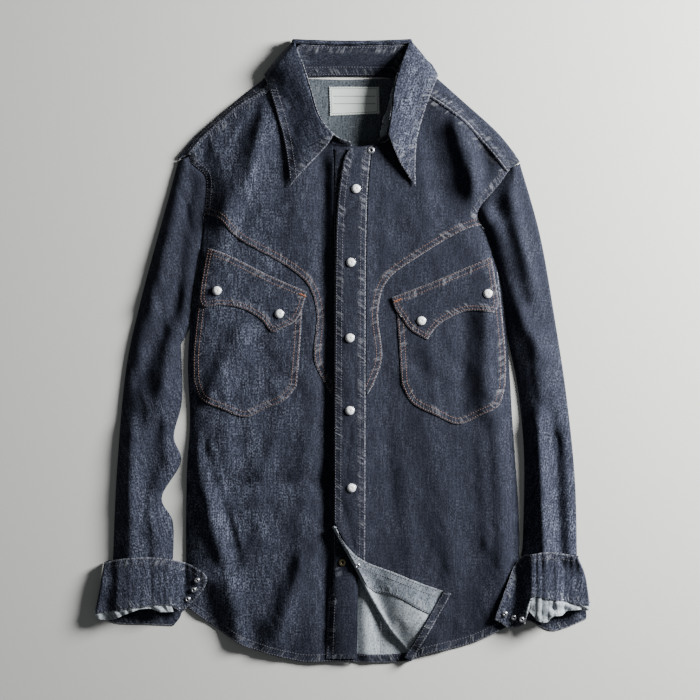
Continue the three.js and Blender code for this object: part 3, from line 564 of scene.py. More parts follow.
back_grid = measured(back_plan, back_top(back_plan[..., 0], back_plan[..., 1]), 0, [yoke_seam])
HEM = 10 * MM  # width of the hem
hem_seen = hem_line[(hem_line[:, 0] > at([352, 0])[0]) & (hem_line[:, 0] < at([413, 0])[0])][::-1]
hem_inner = moved(hem_seen, HEM)
back_hem_plan = patch(hem_seen, hem_inner, chain(hem_seen[:1], hem_inner[:1]), chain(hem_seen[-1:], hem_inner[-1:]))
back_hem_height = back_top(back_hem_plan[..., 0], back_hem_plan[..., 1]) + 2.2 * CLOTH
back_hem = measured(back_hem_plan, back_hem_height, 0, [hem_seen])
piece("back_panel", [back_grid, back_hem], ["back_panel"])

# %% The fronts
side_seams = {"right": part_of(side_right, 620, 225), "left": part_of(side_left, 640, 240)}
under_yoke = moved(armhole_right, -4 * MM)
right_side = chain(side_right[:-3], under_yoke[2:])
right_top = chain(right_side[-1:], shoulder_right[3:], neck_right)
front_right_plan = patch(hem_right[::-1], right_top, right_side, centre_edge[::-1])
front_right_grid = laid(front_right_plan, on_right(CLOTH), [hem_right], closed=[side_seams["right"]])
piece("front_right", [front_right_grid], ["front_right"])

left_side = chain(side_left[::-1][:-3], moved(armhole_left, -4 * MM)[::-1][2:])
left_top = chain(neck_left, shoulder_left[:-3], left_side[-1:])
front_left_plan = patch(hem_left[::-1], left_top, chain(corner_fold[::-1], placket_edge), left_side)
front_left_grid = laid(front_left_plan, on_left(CLOTH), [hem_left], closed=[side_seams["left"]])

# %% [markdown]
# The corner of the left front is turned back over the placket below the last snap. The cloth goes round
# its fold in half a circle, so what shows is its inside: the hem, the facing of the placket and the pale
# weft. The turned part is a patch of its own, joined to the front by the rows that go round the fold.

# %% The turned front corner
corner_tip = straight([334.5, 524], [337, 525.5])
corner_right = chain(corner_tip[-1:], turned_edge[2:])[::-1]
corner_plan = patch(corner_hem, corner_tip, corner_fold[::-1], corner_right)
cx, cy = corner_plan[..., 0], corner_plan[..., 1]


def corner_level(x, y):
    """The turned cloth lies on the placket and lifts off it towards its fold."""
    return 2 * LAYER + GAP + 2 * MM * np.exp(-nearest(corner_fold[::3], x, y)[0] / (40 * MM))


def corner_top(x, y):
    """Height of the turned cloth's inside, which is the side that faces up."""
    return on_left(corner_level(x, y))(x, y) + 0.5 * MM * np.sin(x / (9 * MM) + y / (23 * MM))


corner_under = corner_top(cx, cy)
corner_grid = measured(corner_plan, corner_under, -28, [turned_edge])[:, ::-1]
corner_hem_inner = moved(corner_hem, HEM)
hem_ends = chain(corner_hem[:1], corner_hem_inner[:1]), chain(corner_hem[-1:], corner_hem_inner[-1:])
corner_hem_plan = patch(corner_hem, corner_hem_inner, *hem_ends)
hem_height = corner_top(corner_hem_plan[..., 0], corner_hem_plan[..., 1]) + 3.2 * CLOTH
corner_hem_grid = measured(corner_hem_plan, hem_height, -28, [corner_hem])
facing_seam = curve([367, 585], [376, 591], [385, 592], [399, 596], [424, 610], [437, 614])
facing_bottom = chain(corner_fold[corner_fold[:, 0] < at([364, 0])[0]][2:], facing_seam)
facing_top = turned_edge[1:-2]
facing_ends = chain(facing_bottom[:1], facing_top[:1]), chain(facing_bottom[-1:], facing_top[-1:])
facing_plan = patch(facing_bottom, facing_top, *facing_ends)
facing_height = corner_top(facing_plan[..., 0], facing_plan[..., 1]) + CLOTH
facing_grid = measured(facing_plan, facing_height, -28, [facing_top, facing_seam])[:, ::-1]
fold_line = corner_plan[:, 0]
front_edge = on_left(CLOTH)(fold_line[:, 0], fold_line[:, 1])
outward = moved(fold_line, 1.0)[:, None] - fold_line[:, None]
turn = np.linspace(-np.pi / 2, np.pi / 2, 9)[None]
radius = (corner_under[:, 0] - front_edge)[:, None] / 2
roll_plan = fold_line[:, None] + outward * (radius * np.cos(turn))[..., None]
roll_height = (corner_under[:, 0] + front_edge)[:, None] / 2 + radius * np.sin(turn)
roll_grid = measured(roll_plan, roll_height, -28, [])[:, ::-1]
piece(
    "front_left", [front_left_grid, roll_grid, corner_grid, corner_hem_grid], ["front_left"],
)
piece(
    "corner_facing", [facing_grid], [], finishes=(outside, facing_inside),
    wall=0.8 * CLOTH,
)

# %% [markdown]
# ## Yokes, plackets, pockets and flaps
# These are the layers on the fronts. Each is a patch between its own four sides, at its own number of
# layers, and each edge is topstitched twice. The front yokes run down beside the placket in a point.

# %% Front yokes
yoke_edge_right = curve(
    [204, 214], [220, 220], [240, 240], [283, 264], [308, 285], [317, 315], [314, 356], [322, 378], [333, 397]
)
yoke_edge_left = curve(
    [367, 395], [375, 380], [382, 355], [378, 312], [388, 280], [420, 256], [460, 232], [482, 225]
)
SECOND = LAYER + CLOTH  # top of a piece that lies on a front
THIRD = 2 * LAYER + CLOTH
beside_neck = neck_right[neck_right[:, 0] < at([333, 0])[0]]
yoke_right_plan = ruled(
    chain(yoke_edge_right[::-1], armhole_right, shoulder_right),
    chain(yoke_edge_right[-1:], straight([333, 300], [333.5, 160]), beside_neck[::-1]),
)
piece(
    "front_yoke_right",
    [laid(yoke_right_plan, on_right(SECOND), [yoke_edge_right, armhole_right, shoulder_right])],
    ["front_yoke_right"],
)
beside_placket = part_of(moved(placket_seam, 1.2 * MM), 392, 150)[::-1]
yoke_left_plan = ruled(
    chain(yoke_edge_left[:1], beside_placket, neck_left[neck_left[:, 0] > at([376, 0])[0]]),
    chain(yoke_edge_left, armhole_left[::-1], shoulder_left[::-1]),
)
piece(
    "front_yoke_left",
    [laid(yoke_left_plan, on_left(SECOND), [yoke_edge_left, armhole_left, shoulder_left])],
    ["front_yoke_left"],
)

# %% Plackets: the one that shows carries the caps, the other lies under it
under_placket_edge = curve([335, 150], [334, 300], [334, 560], [329, 592], [326, 658])
under_placket_plan = patch(
    straight([326, 658], [355, 658]), straight([335, 150], [358, 156]), under_placket_edge[::-1],
    straight([355, 658], [358, 156]),
)
piece(
    "placket_right", [laid(under_placket_plan, on_right(SECOND), [under_placket_edge, hem_right])],
    ["placket_right"],
)
placket_fold = moved(corner_fold, 1.6 * MM)
placket_fold = placket_fold[placket_fold[:, 0] < at([361, 0])[0]][::-1]
placket_left_line = chain(placket_fold, placket_edge[1:])
placket_plan = patch(
    chain(placket_left_line[:1], placket_seam[-1:]), chain(placket_edge[-1:], placket_seam[:1]),
    placket_left_line, placket_seam[::-1],
)
piece(
    "placket_left", [laid(placket_plan, on_left(SECOND), [placket_edge, placket_seam])],
    ["placket_left"],
)

# %% Chest pockets and their flaps
# each side: how it lies, then the pocket's left, bottom, right, the flap's left, bottom, right and its top
POCKETS = {
    "right": (
        on_right,
        curve([194, 382], [193.5, 355], [197, 320], [204, 266]),
        curve([194, 382], [203, 400], [225, 410], [246, 417], [265, 409], [285, 400], [297, 386]),
        curve([297, 386], [300, 350], [303, 302]),
        curve([202, 305], [200, 298], [202, 280], [208, 248]),
        chain(
            curve([202, 305], [207, 307.5], [222, 305.5], [240, 308], [255, 315], [264, 322]),
            curve([264, 322], [272, 332], [284, 328], [295, 322], [300, 315]),
        ),
        curve([300, 315], [303, 308], [307, 292]),
        curve([208, 248], [230, 256], [270, 276], [307, 292]),
    ),
    "left": (
        on_left,
        curve([401, 384], [399, 350], [396, 306]),
        curve([401, 384], [412, 403], [435, 415], [458, 424], [480, 415], [498, 405], [505, 384]),
        curve([505, 384], [505, 350], [497, 270]),
        curve([400, 316], [395, 309], [391, 298]),
        chain(
            curve([400, 316], [410, 330], [427, 340]), curve([427, 340], [437, 326], [455, 315], [470, 311], [493, 313])
        ),
        curve([493, 313], [498, 304], [496, 290], [491, 257]),
        curve([391, 298], [430, 283], [470, 266], [491, 257]),
    ),
}
for side, (on, left, bottom, right, flap_left, flap_bottom, flap_right, flap_top) in POCKETS.items():
    pocket_plan = patch(bottom, chain(left[-1:], right[-1:]), left, right)
    outline = [chain(left[::-1], bottom, right[::-1] if side == "x" else right)]
    piece(f"pocket_{side}", [laid(pocket_plan, on(SECOND), outline)], [f"pocket_{side}"])
    flap_plan = patch(flap_bottom, flap_top, flap_left, flap_right)
    outline = [chain(flap_left[::-1], flap_bottom, flap_right), flap_top]
    piece(
        f"pocket_flap_{side}", [laid(flap_plan, on(THIRD), outline)], [f"pocket_flap_{side}"],
    )

# %% [markdown]
# ## The back yoke, wrapped over the shoulders
# The back yoke is one piece of cloth. It lies under the neck, goes over the top of each shoulder and laps
# over the front yoke a hand's breadth down, where the shoulder seam is. So beside its flat part it has two
# strips, which roll down to the table at the fold and rise over the yoke's edge at the seam.

# %% The back yoke
yoke_left_line = moved(chain(part_of(side_right, 248, 214), armhole_right, fold_right), -ROLL_ROOM)[3:-3]
yoke_right_line = moved(chain(fold_left, armhole_left, part_of(side_left, 260, 224)), -ROLL_ROOM)[3:-3][::-1]
yoke_low = chain(yoke_left_line[:1], straight([343, 262.5]), yoke_right_line[:1])
yoke_high = chain(yoke_left_line[-1:], straight([299, 78.5], [343, 80], [398, 78.5]), yoke_right_line[-1:])
back_yoke_plan = patch(yoke_low, yoke_high, yoke_left_line, yoke_right_line, 4 * MM)[:, ::-1]
back_yoke_height = 0.1 * MM + np.zeros(back_yoke_plan.shape[:2])
back_yoke_grid = measured(back_yoke_plan, back_yoke_height, 0, [yoke_low])


def wrap(seam, fold, sleeve_end):
    """Height of the strip over a shoulder: a layer up beside the sleeve, two where it laps the yoke."""

    def top(x, y):
        lapped = 1 - ease((nearest(seam, x, y)[0] - 1 * MM) / (7 * MM))
        beside = 1 - ease(nearest(sleeve_end, x, y)[0] / (9 * MM))
        level = CLOTH + np.maximum(lapped * 2 * LAYER, beside * LAYER)
        return body_under(x, y) + steepness(body_under, x, y) * level

    return top


wrap_grids = []
for seam, fold, inner_first in ((shoulder_right, fold_right, False), (shoulder_left[::-1], fold_left[::-1], True)):
    lapping = moved(seam, -3 * MM if not inner_first else 3 * MM)
    low, high = np.array([seam[0], fold[0]]), np.array([lapping[-1], fold[-1]])
    lapping = chain(seam[:1], lapping[2:])
    sides = (lapping, fold) if inner_first else (fold, lapping)
    low, high = (low, high) if inner_first else (low[::-1], high[::-1])
    plan = patch(low, high, *sides)
    wrap_grids.append(laid(plan, wrap(seam, fold, low), [seam, low], 40 if inner_first else -40, [fold]))
# its inside, seen down in the neck, takes the darker finish with painted shade
piece(
    "back_yoke", [back_yoke_grid, *wrap_grids], ["back_yoke"],
    finishes=(outside, neck_inside_painted_shade),
)

# %% [markdown]
# ## Sleeves
# A sleeve laid flat is a tube: a top sheet and a bottom sheet that meet along both edges. Its grid runs
# over the top from one edge to the other and back along the table, and its last column joins its first.
# It starts under the edge of the yoke, where the armhole seam is.

# %% The sleeves
under_arm_right, under_arm_left = part_of(side_right, 330, 248), part_of(side_left, 336, 254)
SLEEVES = {
    "right": (
        curve([113, 560], [117, 470], [126, 370], [141, 300], [157, 240], [168, 200], [178, 162]),
        chain(
            curve([173, 560], [173, 522], [162, 497], [181, 462], [174, 436], [182, 400], [181, 345]),
            moved(under_arm_right, 0.3 * MM),
        ),
        chain(moved(part_of(side_right, 247, 214), 0.3 * MM), moved(armhole_right, -3 * MM)),
        14,
    ),
    "left": (
        curve([577, 556], [575, 480], [567, 400], [555, 320], [540, 235], [520, 164]),
        chain(
            curve([521, 556], [523, 535], [524, 455], [518, 390], [510, 350]),
            moved(under_arm_left, 0.3 * MM)[::-1],
        ),
        chain(moved(part_of(side_left, 253, 226), 0.3 * MM)[::-1], moved(armhole_left, -3 * MM)[::-1]),
        -12,
    ),
}
sleeve_tops = {}
cuff_row = at([0, 548])[1]
for side, (outer, inner, seam, grain) in SLEEVES.items():
    closed_lines = [outer, inner, seam]
    outline = np.vstack([outer, seam[::-1], inner[::-1]])
    lowest, highest = outline.min(0) - 60 * MM, outline.max(0) + 60 * MM
    under = mapped(lofted(closed_lines, 9 * MM, 24 * MM, outline=outline), lowest, highest)

    def sleeve_top(x, y, under=under):
        """The sheet on top; past the cuff's upper edge it keeps its section, so that the end stays open."""
        y = np.maximum(y, cuff_row)
        return under(x, y) + steepness(under, x, y) * CLOTH

    sleeve_tops[side] = sleeve_top
    arm = len(seam) // 2  # the corner of the patch is half way up the armhole, where the edge turns most
    inner_side, end = chain(inner, seam[:arm]), chain(seam[arm - 1 :], outer[-1:])
    if side == "right":
        plan = patch(chain(outer[:1], inner[:1]), end[::-1], outer, inner_side)
    else:
        plan = patch(chain(inner[:1], outer[:1]), end, inner_side, outer)
    x, y = plan[..., 0], plan[..., 1]
    edge = np.minimum(nearest(outer[::2], x, y)[0], nearest(inner[::2], x, y)[0])
    top_grid = measured(plan, sleeve_top(x, y) * rolled(edge, 3.2 * MM), grain, [])
    bottom_grid = measured(plan, np.zeros(x.shape), grain, [])[:, -2:0:-1]
    bottom_grid[..., 2] = 0.05 * MM
    piece(
        f"sleeve_{side}", [np.concatenate([top_grid, bottom_grid], axis=1)], [f"sleeve_{side}"],
        closed=True, finishes=(sleeve_outside, inside),
    )

# %% [markdown]
# ## Cuffs, turned up once
# Each sleeve ends in a cuff, unsnapped and turned back on itself, so the metal backs of the snaps face up.
# At the wrist its cloth goes round a lip. We add that lip to a patch as extra rows: half a circle off the
# last row, then a few millimetres back inside. Pressed flat, the cuff puckers along its length.

# %% A lip on the first row of a grid
def lipped(grid, radius, depth, way=-1):
    """Adds rows before the first: half a circle down (or up, for way 1), r sin a outwards and
    r (1 - cos a) in height, and then a strip that goes back inside by a depth."""
    outward = grid[0, :, :2] - grid[2, :, :2]
    outward = outward / np.linalg.norm(outward, axis=-1, keepdims=True)
    turn = np.linspace(0, np.pi, 7)[1:, None, None]
    back = (np.array([0.3, 0.65, 1.0]) * depth)[:, None, None]
    rows = np.repeat(grid[:1], 9, axis=0)
    rows[:6, :, :2] += outward * radius * np.sin(turn)
    rows[6:, :, :2] -= outward * back
    rows[:6, :, 2:3] += way * radius * (1 - np.cos(turn))
    rows[6:, :, 2:3] += way * radius * 2
    return np.concatenate([rows[::-1], grid])


# %% The cuffs
# each side: the upper sheet's bottom, top, left and right, the lower sheet's, and then the bottom and top
# of the pale strip that shows between them
CUFFS = {
    "right": (
        curve([95.5, 612], [118, 608], [140, 605], [160, 603], [172, 604], [183, 611]),
        curve([104.7, 562], [126, 557], [160, 556.5], [189, 563], [204, 571]),
        curve([95.5, 612], [100, 588], [104.7, 562]),
        curve([183, 611], [190, 604], [198, 596], [206, 585], [208, 577], [204, 571]),
        curve([99.5, 617], [120, 623], [149, 624], [174, 625]),
        straight([107.5, 560.5], [172, 560.5]),
        straight([99.5, 617], [107.5, 560.5]),
        curve([174, 625], [181, 615], [182, 600], [180, 575], [172, 560.5]),
        curve([97, 613.5], [101, 617.5], [114, 618], [126, 612.5], [140, 607.5], [152, 606.5], [163, 610], [174, 610]),
        curve([96.5, 611], [118, 607.3], [140, 604.3], [160, 602.3], [172, 603.3]),
    ),
    "left": (
        chain(
            curve([494, 617], [501, 621.5], [508, 626], [516, 625], [523, 622]),
            curve([523, 622], [525, 612], [527, 601], [531, 593]),
            curve([531, 593], [542, 595.5], [556, 598], [572, 602], [589, 604]),
        ),
        curve([523.6, 553.5], [546.6, 550], [576, 554]),
        curve([494, 617], [498.7, 602], [506, 583], [513, 566], [523.6, 553.5]),
        curve([589, 604], [587, 588], [584, 572], [576, 554]),
        curve([524, 620], [531, 621], [550, 630], [566, 627], [586, 618.5]),
        straight([523, 556.5], [572, 556.5]),
        straight([524, 620], [522, 600], [523, 556.5]),
        curve([586, 618.5], [586, 611], [581, 580], [572, 556.5]),
        curve([526, 607], [531, 613], [538, 619], [546, 619], [550, 613.5], [560, 612.5], [568, 608.5], [587, 608]),
        curve([531, 592], [542, 594.5], [556, 597], [572, 601], [588, 603]),
    ),
}
cuff_tops = {}
CUFF_WALL = 1.7 * MM
flare_row = at([0, 556])[1]
for side, lines in CUFFS.items():
    upper_lines, lower_lines, strip_lines = lines[:4], lines[4:8], lines[8:]
    on_body = on_right if side == "right" else on_left

    def cuff_top(x, y, side=side, on_body=on_body):
        """Over the sleeve and the body's edge: a stiff cuff bridges the sleeve's troughs, stands a little
        further off towards the wrist, and puckers along its length."""
        on_sleeve = np.maximum.reduce([sleeve_tops[side](x + move * MM, y) - abs(move) * 0.1 * MM
                                       for move in (-14, -7, 0, 7, 14)])
        resting = np.maximum(on_sleeve + GAP, on_body(1.1 * LAYER)(x, y))
        bent = x / (1.45 * MM) + 1.6 * np.sin(x / (9 * MM)) + 0.7 * np.sin(y / (11 * MM))
        puckers = (0.26 + 0.14 * np.sin(x / (6 * MM) + y / (17 * MM))) * MM * np.sin(bent)
        towards_wrist = ease((flare_row - y) / (77 * MM))
        return resting + CUFF_WALL + MM + puckers + 4.4 * MM * towards_wrist

    cuff_tops[side] = cuff_top
    plan = patch(*upper_lines, step=1.8 * MM)
    outer_edge = upper_lines[2] if side == "right" else upper_lines[3]
    free_edges = [chain(*upper_lines[:1]), upper_lines[1], upper_lines[3 if side == "right" else 2]]
    grain = 14 if side == "right" else -12
    upper = laid(plan, cuff_top, free_edges, grain, [outer_edge])
    upper = lipped(upper, 1.1 * MM, 3 * MM)
    upper[..., 2] = np.maximum(upper[..., 2], CUFF_WALL)
    # the lower sheet lies with its navy outside up: painted shade, a dark face where the cuff's pale inner side lies in
    # shade
    lower_plan = patch(*lower_lines, step=1.8 * MM)
    lower = lipped(measured(lower_plan, 1.6 * MM + 0 * lower_plan[..., 0], grain, lower_lines[:1]), 0.7 * MM, 4 * MM)
    bottom, top = strip_lines
    strip_plan = patch(bottom, top, chain(bottom[:1], top[:1]), chain(bottom[-1:], top[-1:]), 1.2 * MM)
    x, y = strip_plan[..., 0], strip_plan[..., 1]
    below_edge = nearest(top, x, y)[0]
    crumpled = unevenness(x, y, 11 * MM, 1.1 * MM, 8) * ease(below_edge / (5 * MM))
    strip_height = cuff_top(x, y) - CUFF_WALL - 0.6 * MM - 0.16 * below_edge + crumpled
    strip = measured(strip_plan, strip_height, grain, [bottom])
    piece(
        f"cuff_{side}", [upper, lower, strip[:, ::-1]], [f"cuff_{side}"], wall=CUFF_WALL * 0.7,
        finishes=(sleeve_outside, inside),
    )

# %% [markdown]
# ## The collar
# The collar is a stand, which goes round the neck, and a leaf, which folds over it. In front the leaf lies
# on the yokes in two wings: each rests on its outer edge and stands up at its fold, 15 mm above the yoke.
# Behind the neck the fold stands 18 mm above the table, and the leaf goes down behind it and back under.

# %% The collar leaf
fold_edge_right = curve([293, 41], [302, 70], [309, 92], [318, 120], [333, 137.5])
fold_edge_left = curve([388, 137.5], [392, 115], [396, 85], [411, 41])
wing_edge_right = curve([290, 188], [289, 170], [283, 135], [272, 97], [264, 75])
wing_edge_left = curve([438, 76], [425, 110], [416, 145], [415, 187])
wing_front_right = curve([290, 188], [304, 172], [328, 147], [333, 137.5])
wing_front_left = curve([388, 137.5], [400, 165], [415, 187])
wing_turn_right = curve([264, 75], [278, 57.5], [293, 41])
wing_turn_left = curve([411, 41], [425, 57.5], [438, 76])
BEYOND_SHOULDER = at([[0, 48], [0, 76]])[:, 1]


def neck_ground(on, x, y):
    """What the collar lies on: the yokes in front, and beyond the shoulders only its own back part."""
    front = ease((BEYOND_SHOULDER[0] - y) / (BEYOND_SHOULDER[0] - BEYOND_SHOULDER[1]))
    return 3 * LAYER * (1 - front) + on(2 * LAYER)(x, y) * front


def wing_under(on, fold_edge, wing_edge):
    """Underside of a wing: 1.6 mm off what it lies on at its outer edge, and 14.6 mm at its fold."""

    def surface(x, y):
        outer, inner = nearest(wing_edge, x, y)[0], nearest(fold_edge, x, y)[0]
        share = outer / (outer + inner + 1e-9)
        return neck_ground(on, x, y) + 1.6 * MM + 13 * MM * ease(0.1 + 0.9 * share)

    return surface


under_right = wing_under(on_right, fold_edge_right, wing_edge_right)
under_left = wing_under(on_left, fold_edge_left, wing_edge_left)
LEAF = 1.3 * CLOTH
wings = []
for under, sides, grain in (
    (under_right, (wing_front_right, wing_turn_right, wing_edge_right, fold_edge_right[::-1]), 24),
    (under_left, (wing_front_left[::-1], wing_turn_left, fold_edge_left, wing_edge_left[::-1]), -14),
):
    if grain < 0:
        sides = (wing_front_left, wing_turn_left, fold_edge_left, wing_edge_left[::-1])
    plan = patch(*sides, step=1.8 * MM)
    x, y = plan[..., 0], plan[..., 1]
    height = (under(x, y) + LEAF) * rolled(nearest(sides[1], x, y)[0], 9 * MM)
    fold, edge = (sides[3], sides[2]) if grain > 0 else (sides[2], sides[3])
    wing = measured(plan, height, grain, [edge, sides[0]])
    wing[..., 2] += eased_edge(wing[..., 6])
    turned = wing.transpose(1, 0, 2)  # the lip goes along the fold, so rows and columns change places
    turned = lipped(turned, 1.6 * MM, 1.5 * MM) if grain < 0 else lipped(turned[::-1], 1.6 * MM, 1.5 * MM)[::-1]
    turned[..., 2] = np.maximum(turned[..., 2], LEAF + 0.1 * MM)
    wings.append(turned.transpose(1, 0, 2))

# the leaf behind the neck: distance in from the fold and height, in mm
BACK_LEAF = np.array(
    [(6.5, 16.6), (4.4, 18.0), (2.4, 18.2), (0.9, 17.2), (0.1, 15.4), (0, 12), (0.1, 8), (0.2, 4), (0.8, 1.4),
     (2.4, 0.3), (6, 0.1), (16, 0.1), (30, 0.1), (43, 0.1)]
) * MM
across = np.linspace(0, 1, 60)[None]
depth, height = BACK_LEAF[:, :1], BACK_LEAF[:, 1:] + 0 * across
spread = ease(depth / (43 * MM)) * 27 * PIXEL
back_x = at([293, 0])[0] + (118 * PIXEL) * across + (2 * across - 1) * spread
back_y = at([0, 41])[1] - 1.6 * PIXEL * np.sin(np.pi * across) - depth
back_leaf = measured(np.stack([back_x, back_y], -1), height + 0.5 * MM * np.sin(40 * across) * (height > 0.01), 90, [])
# both faces of the leaf carry the collar denim with its painted light
piece(
    "collar_leaf", [*wings, back_leaf], ["collar_leaf"], wall=LEAF,
    finishes=(collar_with_painted_light, collar_with_painted_light),
)

# %% The collar stand, one band round the neck
stand_foot = curve(
    [352, 147], [332, 142], [316, 124], [306, 103], [301.5, 86], [305, 79], [320, 77.6], [343, 77.2],
    [375, 77.6], [393, 79], [398, 86], [397, 104], [393, 125], [388, 139], [377, 146]
)
stand_top = curve(
    [350, 143], [335, 137], [320.5, 119], [311.5, 91], [304.5, 69], [298, 48.5], [318, 47.5], [343, 47.2],
    [372, 47.5], [407, 48.5], [399, 69], [393.8, 86], [389.8, 114], [386, 134], [378, 141]
)
shares = np.linspace(0, 1, 260)
foot, top = at_share(stand_foot, shares), at_share(stand_top, shares)
rise = np.linspace(0, 1, 14)[:, None]
plan = foot[None] * (1 - rise[..., None]) + top[None] * rise[..., None]
behind = ease((at([0, 96])[1] - foot[:, 1]) / (-18 * PIXEL))
sides_of_neck = np.where(foot[:, 0] < at([355, 0])[0], on_right(2 * LAYER)(*foot.T), on_left(2 * LAYER)(*foot.T))
foot_height = sides_of_neck * (1 - behind) + 1.7 * MM * behind
under_fold = np.where(top[:, 0] < at([355, 0])[0], under_right(*top.T), under_left(*top.T))
top_height = under_fold * (1 - behind) + 15.6 * MM * behind
front_end = ease(np.minimum(shares, 1 - shares) / 0.07)
top_height = foot_height + 4 * MM + (top_height - foot_height - 4 * MM) * front_end
bulge = (1 + 0.35 * behind) * rise - 0.35 * behind * rise**2
stand = measured(plan, foot_height + (top_height - foot_height) * bulge, 90, [stand_foot, stand_top])
piece(
    "collar_stand", [stand], ["collar_stand"], finishes=(outside, outside), wall=CLOTH,
)

# %% [markdown]
# ## Topstitching
# The yokes, pockets and flaps are sewn with two rows of copper thread, and the rest with thread near the
# denim's own colour. A stitch is a short bead of thread, square in section, whose ends dip into the cloth.
# A row is worked out at once: the middle of each stitch along the line, four stations along each bead and
# four corners round each station. Thread and stitches are drawn a little thicker than real ones.

# %% Thread and rows of stitches
STITCH_PITCH = 3.4 * MM
FIRST_ROW, SECOND_ROW = 1.9 * MM, 7.3 * MM  # distance of the two rows from a seam's edge
copper_thread = finish("copper_thread", Base_Color=linear("#7d6054"), Roughness=0.6)[0]
navy_thread = finish("navy_thread", Base_Color=linear("#575661"), Roughness=0.6)[0]
orange_thread = finish("orange_thread", Base_Color=linear("#b8704a"), Roughness=0.6)[0]


def draped(line, surface):
    """A plan line with the height of the surface that it lies on."""
    line = even(line, 2 * MM)
    return np.column_stack([line, surface(line[:, 0], line[:, 1])])


def stitches(name, rows, thread, on, pitch=STITCH_PITCH, share=0.72, thickness=0.42 * MM):
    """Beads along 3-D lines. At a station t, from -1 to 1, a bead is lifted by 0.5 - 1.1 t^2 of its
    thickness, and its corners lie at equal turns round it."""
    points = []
    for line in rows:
        run = along(line)
        count = max(1, int(run[-1] / pitch))
        t = np.array([-1, -0.55, 0.55, 1])
        place = (np.arange(count)[:, None] + 0.5) * run[-1] / count + t * share * pitch / 2
        x, y, z = (np.interp(place, run, axis) for axis in line.T)
        heading = np.stack([x[:, -1:] - x[:, :1], y[:, -1:] - y[:, :1]], -1)
        heading = heading / (np.linalg.norm(heading, axis=-1, keepdims=True) + 1e-12)
        turn = np.array([0, 0.5, 1, 1.5]) * np.pi
        radius = thickness * np.array([0.55, 1, 1, 0.55])[None, :, None]
        aside, up = np.cos(turn) * radius, np.sin(turn) * radius * 0.8
        z = z[..., None] + up + thickness * (0.5 - 1.1 * t**2)[None, :, None]
        x, y = x[..., None] - aside * heading[..., 1:], y[..., None] + aside * heading[..., :1]
        points.append(np.stack([x, y, z], -1).reshape(-1, 3))
    points = np.vstack(points)
    start = np.arange(len(points) // 16)[:, None, None, None] * 16
    station, corner = np.arange(3)[:, None, None] * 4, np.arange(4)[:, None]
    after = (corner + 1) % 4
    around = (start + station + np.concatenate([corner, after, after + 4, corner + 4], -1)).reshape(-1, 4)
    ends = (start[:, 0, 0] + np.array([[3, 2, 1, 0]])), (start[:, 0, 0] + np.array([[12, 13, 14, 15]]))
    mesh = bpy.data.meshes.new(name)
    mesh.from_pydata(points.tolist(), [], np.vstack([around, *ends]).tolist())
    mesh.shade_smooth()
    mesh.materials.append(thread)
    obj = bpy.data.objects.new(name, mesh)
    bpy.context.scene.collection.objects.link(obj)
    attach(obj, "root")
    print(f"{name}: {len(points) // 16} stitches on {on}")


def double_row(line, surface, side=1, distances=(FIRST_ROW, SECOND_ROW)):
    """Two rows beside an edge, to its left for side 1 and to its right for -1."""
    return [draped(moved(line, side * d)[1:-1], surface) for d in distances]


# %% Copper rows: yokes, pockets and flaps
yoke_tops = {"right": on_right(SECOND), "left": on_left(SECOND)}
rows = double_row(yoke_edge_right[:-2], yoke_tops["right"]) + double_row(yoke_edge_left[2:], yoke_tops["left"])
stitches("stitches_yokes", rows, copper_thread, "the front yokes")
rows, tacks = [], []
for side, (on, left, bottom, right, flap_left, flap_bottom, flap_right, flap_top) in POCKETS.items():
    pocket_line = chain(part_of(left[::-1], 420, 300), bottom, part_of(right, 420, 300))
    rows += double_row(pocket_line, on(SECOND))
    rows += double_row(chain(flap_left[::-1], flap_bottom, flap_right), on(THIRD), distances=(FIRST_ROW, 6 * MM))
    rows += double_row(flap_top, on(THIRD), side=-1)
    tack = [[299.5, 294], [306.5, 297]] if side == "right" else [[394, 302], [401, 299]]
    tacks += [draped(straight(*tack), on(THIRD + 0.3 * MM))]
stitches("stitches_pockets", rows, copper_thread, "the pockets and flaps")
stitches("bar_tacks", tacks, orange_thread, "the flaps' corners", 0.7 * MM, 0.9, 0.75 * MM)

# %% Navy rows: placket, hem, shoulders, armholes, collar and cuffs
rows = double_row(placket_edge, yoke_tops["left"], -1, (2 * MM, 8.5 * MM))
rows += double_row(placket_seam, yoke_tops["left"], -1, (1.6 * MM, 7 * MM))
rows += double_row(under_placket_edge[-34:], on_right(SECOND), 1, (2 * MM, 8.5 * MM))
rows += double_row(part_of(centre_edge, 655, 500), on_right(CLOTH), 1, (30 * MM,))
stitches("stitches_placket", rows, navy_thread, "the plackets")
rows = double_row(hem_right, on_right(CLOTH), -1, (1.5 * MM, 9.5 * MM))
rows += double_row(hem_left, on_left(CLOTH), -1, (1.5 * MM, 9.5 * MM))
rows += double_row(hem_seen, lambda x, y: back_top(x, y) + 2.2 * CLOTH, 1, (8.5 * MM,))
rows += double_row(corner_hem, lambda x, y: corner_top(x, y) + 3.2 * CLOTH, 1, (1.5 * MM, 8.5 * MM))
rows += double_row(turned_edge[4:-6], lambda x, y: corner_top(x, y) + 1.9 * CLOTH, -1, (2 * MM,))
rows += double_row(turned_edge[20:-6], lambda x, y: corner_top(x, y) + 1.9 * CLOTH, -1, (9 * MM,))
rows += double_row(facing_seam, lambda x, y: corner_top(x, y) + 1.9 * CLOTH, 1, (2 * MM,))
stitches("stitches_hem", rows, navy_thread, "the hem and the turned corner")
shoulder_tops = {
    "right": wrap(shoulder_right, fold_right, np.array([shoulder_right[0], fold_right[0]])),
    "left": wrap(shoulder_left, fold_left, np.array([shoulder_left[-1], fold_left[-1]])),
}
rows = double_row(shoulder_right, shoulder_tops["right"], -1, (0.8 * MM, -4.8 * MM))
rows += double_row(shoulder_left, shoulder_tops["left"], -1, (0.8 * MM, -4.8 * MM))
